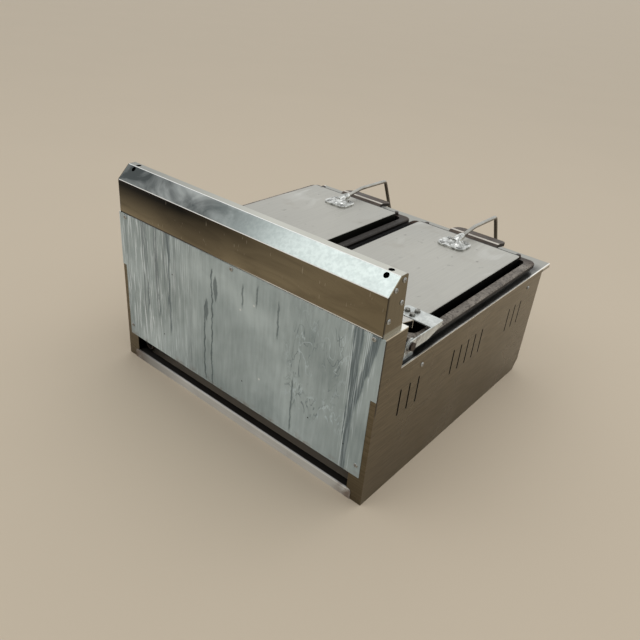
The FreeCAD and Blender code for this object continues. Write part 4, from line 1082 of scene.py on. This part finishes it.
def grow_together(mesh, foot):
    """One smooth closed skin round all parts of a mesh, flat where it rests."""
    data = bpy.data.meshes.new("casting_blank")
    bmesh.ops.recalc_face_normals(mesh, faces=mesh.faces)
    mesh.to_mesh(data)
    mesh.free()
    blank = bpy.data.objects.new("casting_blank", data)
    bpy.context.scene.collection.objects.link(blank)
    remesh = blank.modifiers.new("skin", "REMESH")
    remesh.mode = "VOXEL"
    remesh.voxel_size = BASE_SKIN
    smooth = blank.modifiers.new("flow", "SMOOTH")
    smooth.iterations = BASE_SMOOTHING
    smooth.factor = BASE_SMOOTHING_SHARE
    evaluated = blank.evaluated_get(bpy.context.evaluated_depsgraph_get())
    grown = bmesh.new()
    grown.from_mesh(evaluated.to_mesh())
    bpy.data.objects.remove(blank)
    for vert in grown.verts:
        vert.co.z = max(vert.co.z, foot)
    return grown


# Knobs, in metres, but the skirt, the reaches and the mark's place as shares of radius and depth

KNOB_SEGMENTS = 48
KNOB_SKIRT = ((0.0, 0.0), (0.96, 0.0), (1.0, 0.03), (1.0, 0.16), (0.94, 0.22), (0.88, 0.26),
              (0.85, 0.30), (0.0, 0.32))
GRIP_REACH = 0.90
GRIP_HALF_WIDTH = 0.0056
GRIP_BEVEL = 0.0025
GRIP_STEPS = 3
MARK_PLACE = 0.45
MARK_REACH = 0.36
MARK_HALF_WIDTH = 0.0011
MARK_HALF_DEPTH = 0.0004
MARK_SINK = 0.0001


def knob(side):
    """Knob with a stepped skirt, a rounded grip bar and a white pointer."""
    node = side + "knob"
    low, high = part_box(node)
    middle = (low + high) / 2
    radius = (high.z - low.z) / 2
    depth = high.y - low.y
    stand = Matrix.Translation((middle.x, high.y, middle.z)) @ Matrix.Rotation(math.pi / 2, 4, "X")
    mesh = bmesh.new()
    revolve(mesh, [(r * radius, h * depth) for r, h in KNOB_SKIRT], stand, KNOB_SEGMENTS)
    grip = block(mesh, middle, (GRIP_HALF_WIDTH, depth / 2, GRIP_REACH * radius))
    edges = list(dict.fromkeys(edge for vert in grip for edge in vert.link_edges))
    bmesh.ops.bevel(mesh, geom=edges, offset=GRIP_BEVEL, segments=GRIP_STEPS, profile=0.5, affect="EDGES")
    place = Vector((middle.x, low.y + MARK_SINK, middle.z + MARK_PLACE * radius))
    mark = block(mesh, place, (MARK_HALF_WIDTH, MARK_HALF_DEPTH, MARK_REACH * radius))
    for vert in mark:
        for face in vert.link_faces:
            face.material_index = 1
    materials = [finishes["knob_plastic"], finishes["pointer_paint"]]
    new_piece(side + "knob_moulding", mesh, materials, side + "knob", node)


# Stage

def floor():
    """Plain pale floor."""
    finish = Finish("floor_paint", roughness=0.85)
    tone = srgb(*FLOOR_COLOUR)
    cloud = finish.noise(2.0, detail=2.0)
    finish.set("Base Color", finish.mix(cloud, *(scaled(tone, share) for share in FLOOR_CLOUDS)))
    mesh = bmesh.new()
    bmesh.ops.create_grid(mesh, x_segments=1, y_segments=1, size=FLOOR_HALF)
    data = bpy.data.meshes.new("floor")
    mesh.to_mesh(data)
    mesh.free()
    data.materials.append(finish.material)
    plane = bpy.data.objects.new("floor", data)
    bpy.context.scene.collection.objects.link(plane)


def studio_world():
    """Soft surroundings, brighter on one side and above."""
    world = bpy.data.worlds.new("studio")
    bpy.context.scene.world = world
    world.use_nodes = True
    tree = world.node_tree
    background = tree.nodes["Background"]
    background.inputs["Color"].default_value = SKY_TINT
    coordinates = tree.nodes.new("ShaderNodeTexCoord")
    lean = tree.nodes.new("ShaderNodeVectorMath")
    lean.operation = "DOT_PRODUCT"
    lean.inputs[1].default_value = WORLD_BRIGHT_SIDE
    tree.links.new(coordinates.outputs["Generated"], lean.inputs[0])
    strength = tree.nodes.new("ShaderNodeMapRange")
    strength.inputs[1].default_value = -1.0
    strength.inputs[3].default_value = WORLD_LOW
    strength.inputs[4].default_value = WORLD_HIGH
    tree.links.new(lean.outputs["Value"], strength.inputs[0])
    tree.links.new(strength.outputs[0], background.inputs["Strength"])


def softbox(name, place, target, width, height, radiance):
    """Rectangular lamp that faces a target."""
    lamp = bpy.data.lights.new(name, "AREA")
    lamp.shape = "RECTANGLE"
    lamp.size = width
    lamp.size_y = height
    lamp.energy = radiance * width * height * WATTS_PER_RADIANCE
    holder = bpy.data.objects.new(name, lamp)
    bpy.context.scene.collection.objects.link(holder)
    holder.location = place
    holder.rotation_euler = (Vector(target) - Vector(place)).to_track_quat("-Z", "Y").to_euler()


def camera():
    """Camera at the photograph's place and angle."""
    data = bpy.data.cameras.new("camera")
    data.lens = CAMERA_LENS
    data.sensor_width = CAMERA_SENSOR
    holder = bpy.data.objects.new("camera", data)
    bpy.context.scene.collection.objects.link(holder)
    up = CAMERA_RIGHT.cross(CAMERA_FORWARD)
    turn = Matrix((CAMERA_RIGHT, up, -CAMERA_FORWARD)).transposed().to_4x4()
    holder.matrix_world = Matrix.Translation(CAMERA_EYE) @ turn
    bpy.context.scene.camera = holder


finishes = {
    "bright_screw": bright_screw(),
    "dark_bolt": dark_bolt(),
    "hinge_bolt": hinge_bolt(),
    "bright_casting": bright_casting(handle_screw_places()),
    "knob_plastic": knob_plastic(),
    "pointer_paint": pointer_paint(),
}
dress_nodes()
place_fasteners()
for side in SIDES:
    handle_base(side)
    knob(side)
floor()
studio_world()
for lamp in LAMPS:
    softbox(*lamp)
camera()
bpy.context.scene.view_settings.view_transform = "Standard"
